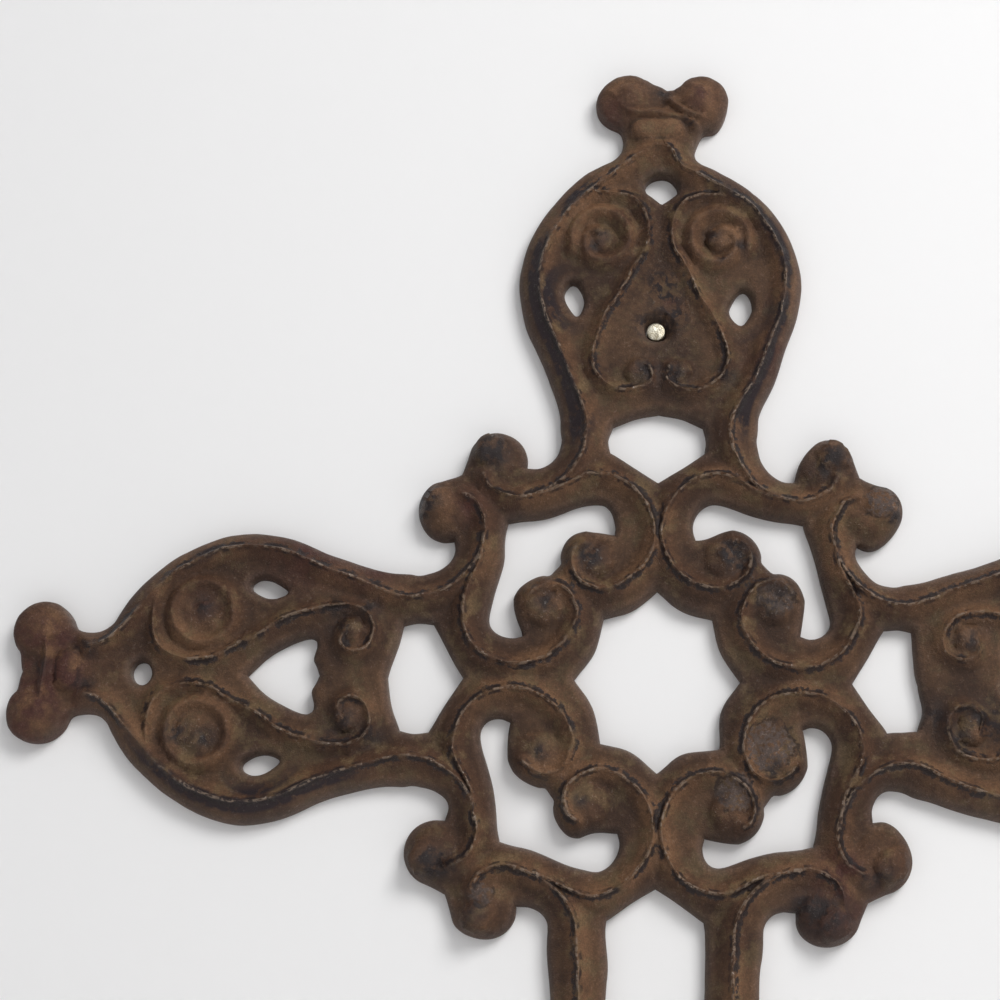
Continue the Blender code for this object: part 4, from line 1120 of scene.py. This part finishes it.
points, faces = [], []
for ring, (across, up) in enumerate(RIVET_RINGS):
    for k in range(RIVET_SIDES):
        turn = 2 * math.pi * k / RIVET_SIDES
        dent = DENT_DEPTH * math.sin(turn + DENT_TURN) * (1 - across) if up > 0.9 else 0.0
        points.append(((RIVET_AT[0] + RIVET_RADIUS * across * math.cos(turn)) * MM,
                       -(RIVET_FACE * up - abs(dent)) * MM,
                       (RIVET_AT[1] - mount_height + RIVET_RADIUS * across * math.sin(turn)) * MM))
        if ring:
            first, last = (ring - 1) * RIVET_SIDES, ring * RIVET_SIDES
            following = (k + 1) % RIVET_SIDES
            faces.append((first + k, first + following, last + following, last + k))
mesh = bpy.data.meshes.new("rivet_pin")
mesh.from_pydata(points, [], faces)
mesh.polygons.foreach_set("use_smooth", [True] * len(mesh.polygons))
pin = bpy.data.objects.new("rivet_pin", mesh)
bpy.context.scene.collection.objects.link(pin)

steel = bpy.data.materials.new("bare_steel")
steel.use_nodes = True
tree = steel.node_tree
shader = tree.nodes["Principled BSDF"]
in_mm = vectors(tree, "SCALE", put(tree, "ShaderNodeTexCoord").outputs["Object"], 1 / MM)
scuffs = put(tree, "ShaderNodeGroup", {"Position": in_mm} | STEEL_GRAIN, node_tree=grain).outputs
colour = blend_colours(tree, eased(tree, scuffs["Grain"], 0.4, 0.6), STEEL_SHADE, STEEL)
tree.links.new(colour, shader.inputs["Base Color"])
shader.inputs["Metallic"].default_value = 0.75
tree.links.new(eased(tree, scuffs["Grain"], 0.3, 0.7, 0.5, 0.3), shader.inputs["Roughness"])
bump = put(tree, "ShaderNodeBump", {"Height": scuffs["Height"], "Strength": 0.5, "Distance": 0.2})
tree.links.new(bump.outputs[0], shader.inputs["Normal"])
mesh.materials.append(steel)
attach(pin, "root")
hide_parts("hanger_rivet")


# The studio: a pale wall close behind the cross, seen only from its front, a pale floor below, and soft
# daylight from the upper right. Light from behind passes the wall, so that the back can be looked at.
WALL_GAP = 0.4
WALL_HALF = 900.0
FLOOR_DROP = 320.0
PAPER = srgb(240, 239, 238)
PAPER_ROUGHNESS = 0.9
AIM = (0, 0, -60)
DAYLIGHT = (0.93, 0.95, 1.0, 1.0)
DAYLIGHT_STRENGTH = 0.33


def plane(name, corners, colour, one_sided):
    mesh = bpy.data.meshes.new(name)
    mesh.from_pydata([tuple(c * MM for c in corner) for corner in corners], [], [(0, 1, 2, 3)])
    material = bpy.data.materials.new(name)
    material.use_nodes = True
    tree = material.node_tree
    shader = tree.nodes["Principled BSDF"]
    shader.inputs["Base Color"].default_value = colour
    shader.inputs["Roughness"].default_value = PAPER_ROUGHNESS
    if one_sided:
        shadow_ray = put(tree, "ShaderNodeLightPath").outputs["Is Shadow Ray"]
        backfacing = put(tree, "ShaderNodeNewGeometry").outputs["Backfacing"]
        behind = maths(tree, "MAXIMUM", backfacing, shadow_ray)
        clear = put(tree, "ShaderNodeBsdfTransparent").outputs[0]
        mixed = put(tree, "ShaderNodeMixShader", {0: behind, 1: shader.outputs[0], 2: clear}).outputs[0]
        tree.links.new(mixed, tree.nodes["Material Output"].inputs["Surface"])
    mesh.materials.append(material)
    made = bpy.data.objects.new(name, mesh)
    bpy.context.scene.collection.objects.link(made)


plane("wall", [(-WALL_HALF, WALL_GAP, -FLOOR_DROP), (WALL_HALF, WALL_GAP, -FLOOR_DROP),
               (WALL_HALF, WALL_GAP, WALL_HALF), (-WALL_HALF, WALL_GAP, WALL_HALF)], PAPER, True)
plane("floor", [(-WALL_HALF, -WALL_HALF, -FLOOR_DROP), (WALL_HALF, -WALL_HALF, -FLOOR_DROP),
                (WALL_HALF, WALL_HALF, -FLOOR_DROP), (-WALL_HALF, WALL_HALF, -FLOOR_DROP)], PAPER, False)


def softbox(name, place, size, watts):
    data = bpy.data.lights.new(name, "AREA")
    data.shape, data.size, data.energy = "SQUARE", size * MM, watts
    made = bpy.data.objects.new(name, data)
    made.location = Vector(place) * MM
    made.rotation_euler = (Vector(AIM) * MM - made.location).to_track_quat("-Z", "Y").to_euler()
    bpy.context.scene.collection.objects.link(made)


softbox("key", (350, -580, 330), 340, 3.75)
softbox("front", (120, -760, 200), 500, 0.6)
softbox("fill", (-500, -700, -100), 600, 0.25)
softbox("behind", (200, 700, 300), 600, 2.6)
world = bpy.data.worlds.new("daylight")
world.use_nodes = True
world.node_tree.nodes["Background"].inputs["Color"].default_value = DAYLIGHT
world.node_tree.nodes["Background"].inputs["Strength"].default_value = DAYLIGHT_STRENGTH
bpy.context.scene.world = world

# The camera: it stands below and a little left of the middle, and looks up at the upright cross, as the
# photo does. Its turns are in degrees about x, y and z, and its shift is in millimetres.
LENS = 79.2
CAMERA_TURN = (-15.20, -3.65, -0.55)
CAMERA_SHIFT = (27.94, -32.50, -391.6)
turns = [Matrix.Rotation(math.radians(angle), 3, axis) for angle, axis in zip(CAMERA_TURN, "XYZ")]
to_camera = turns[2] @ turns[1] @ turns[0]
upright = Matrix(((1, 0, 0), (0, 0, -1), (0, 1, 0)))
place = upright @ (-(to_camera.transposed() @ Vector(CAMERA_SHIFT)))
place.z -= mount_height
camera = bpy.data.objects.new("camera", bpy.data.cameras.new("camera"))
camera.data.lens = LENS
camera.data.sensor_width = 36.0
camera.matrix_world = Matrix.Translation(place * MM) @ (upright @ to_camera.transposed()).to_4x4()
bpy.context.scene.collection.objects.link(camera)
bpy.context.scene.camera = camera
bpy.context.scene.view_settings.view_transform = "Standard"
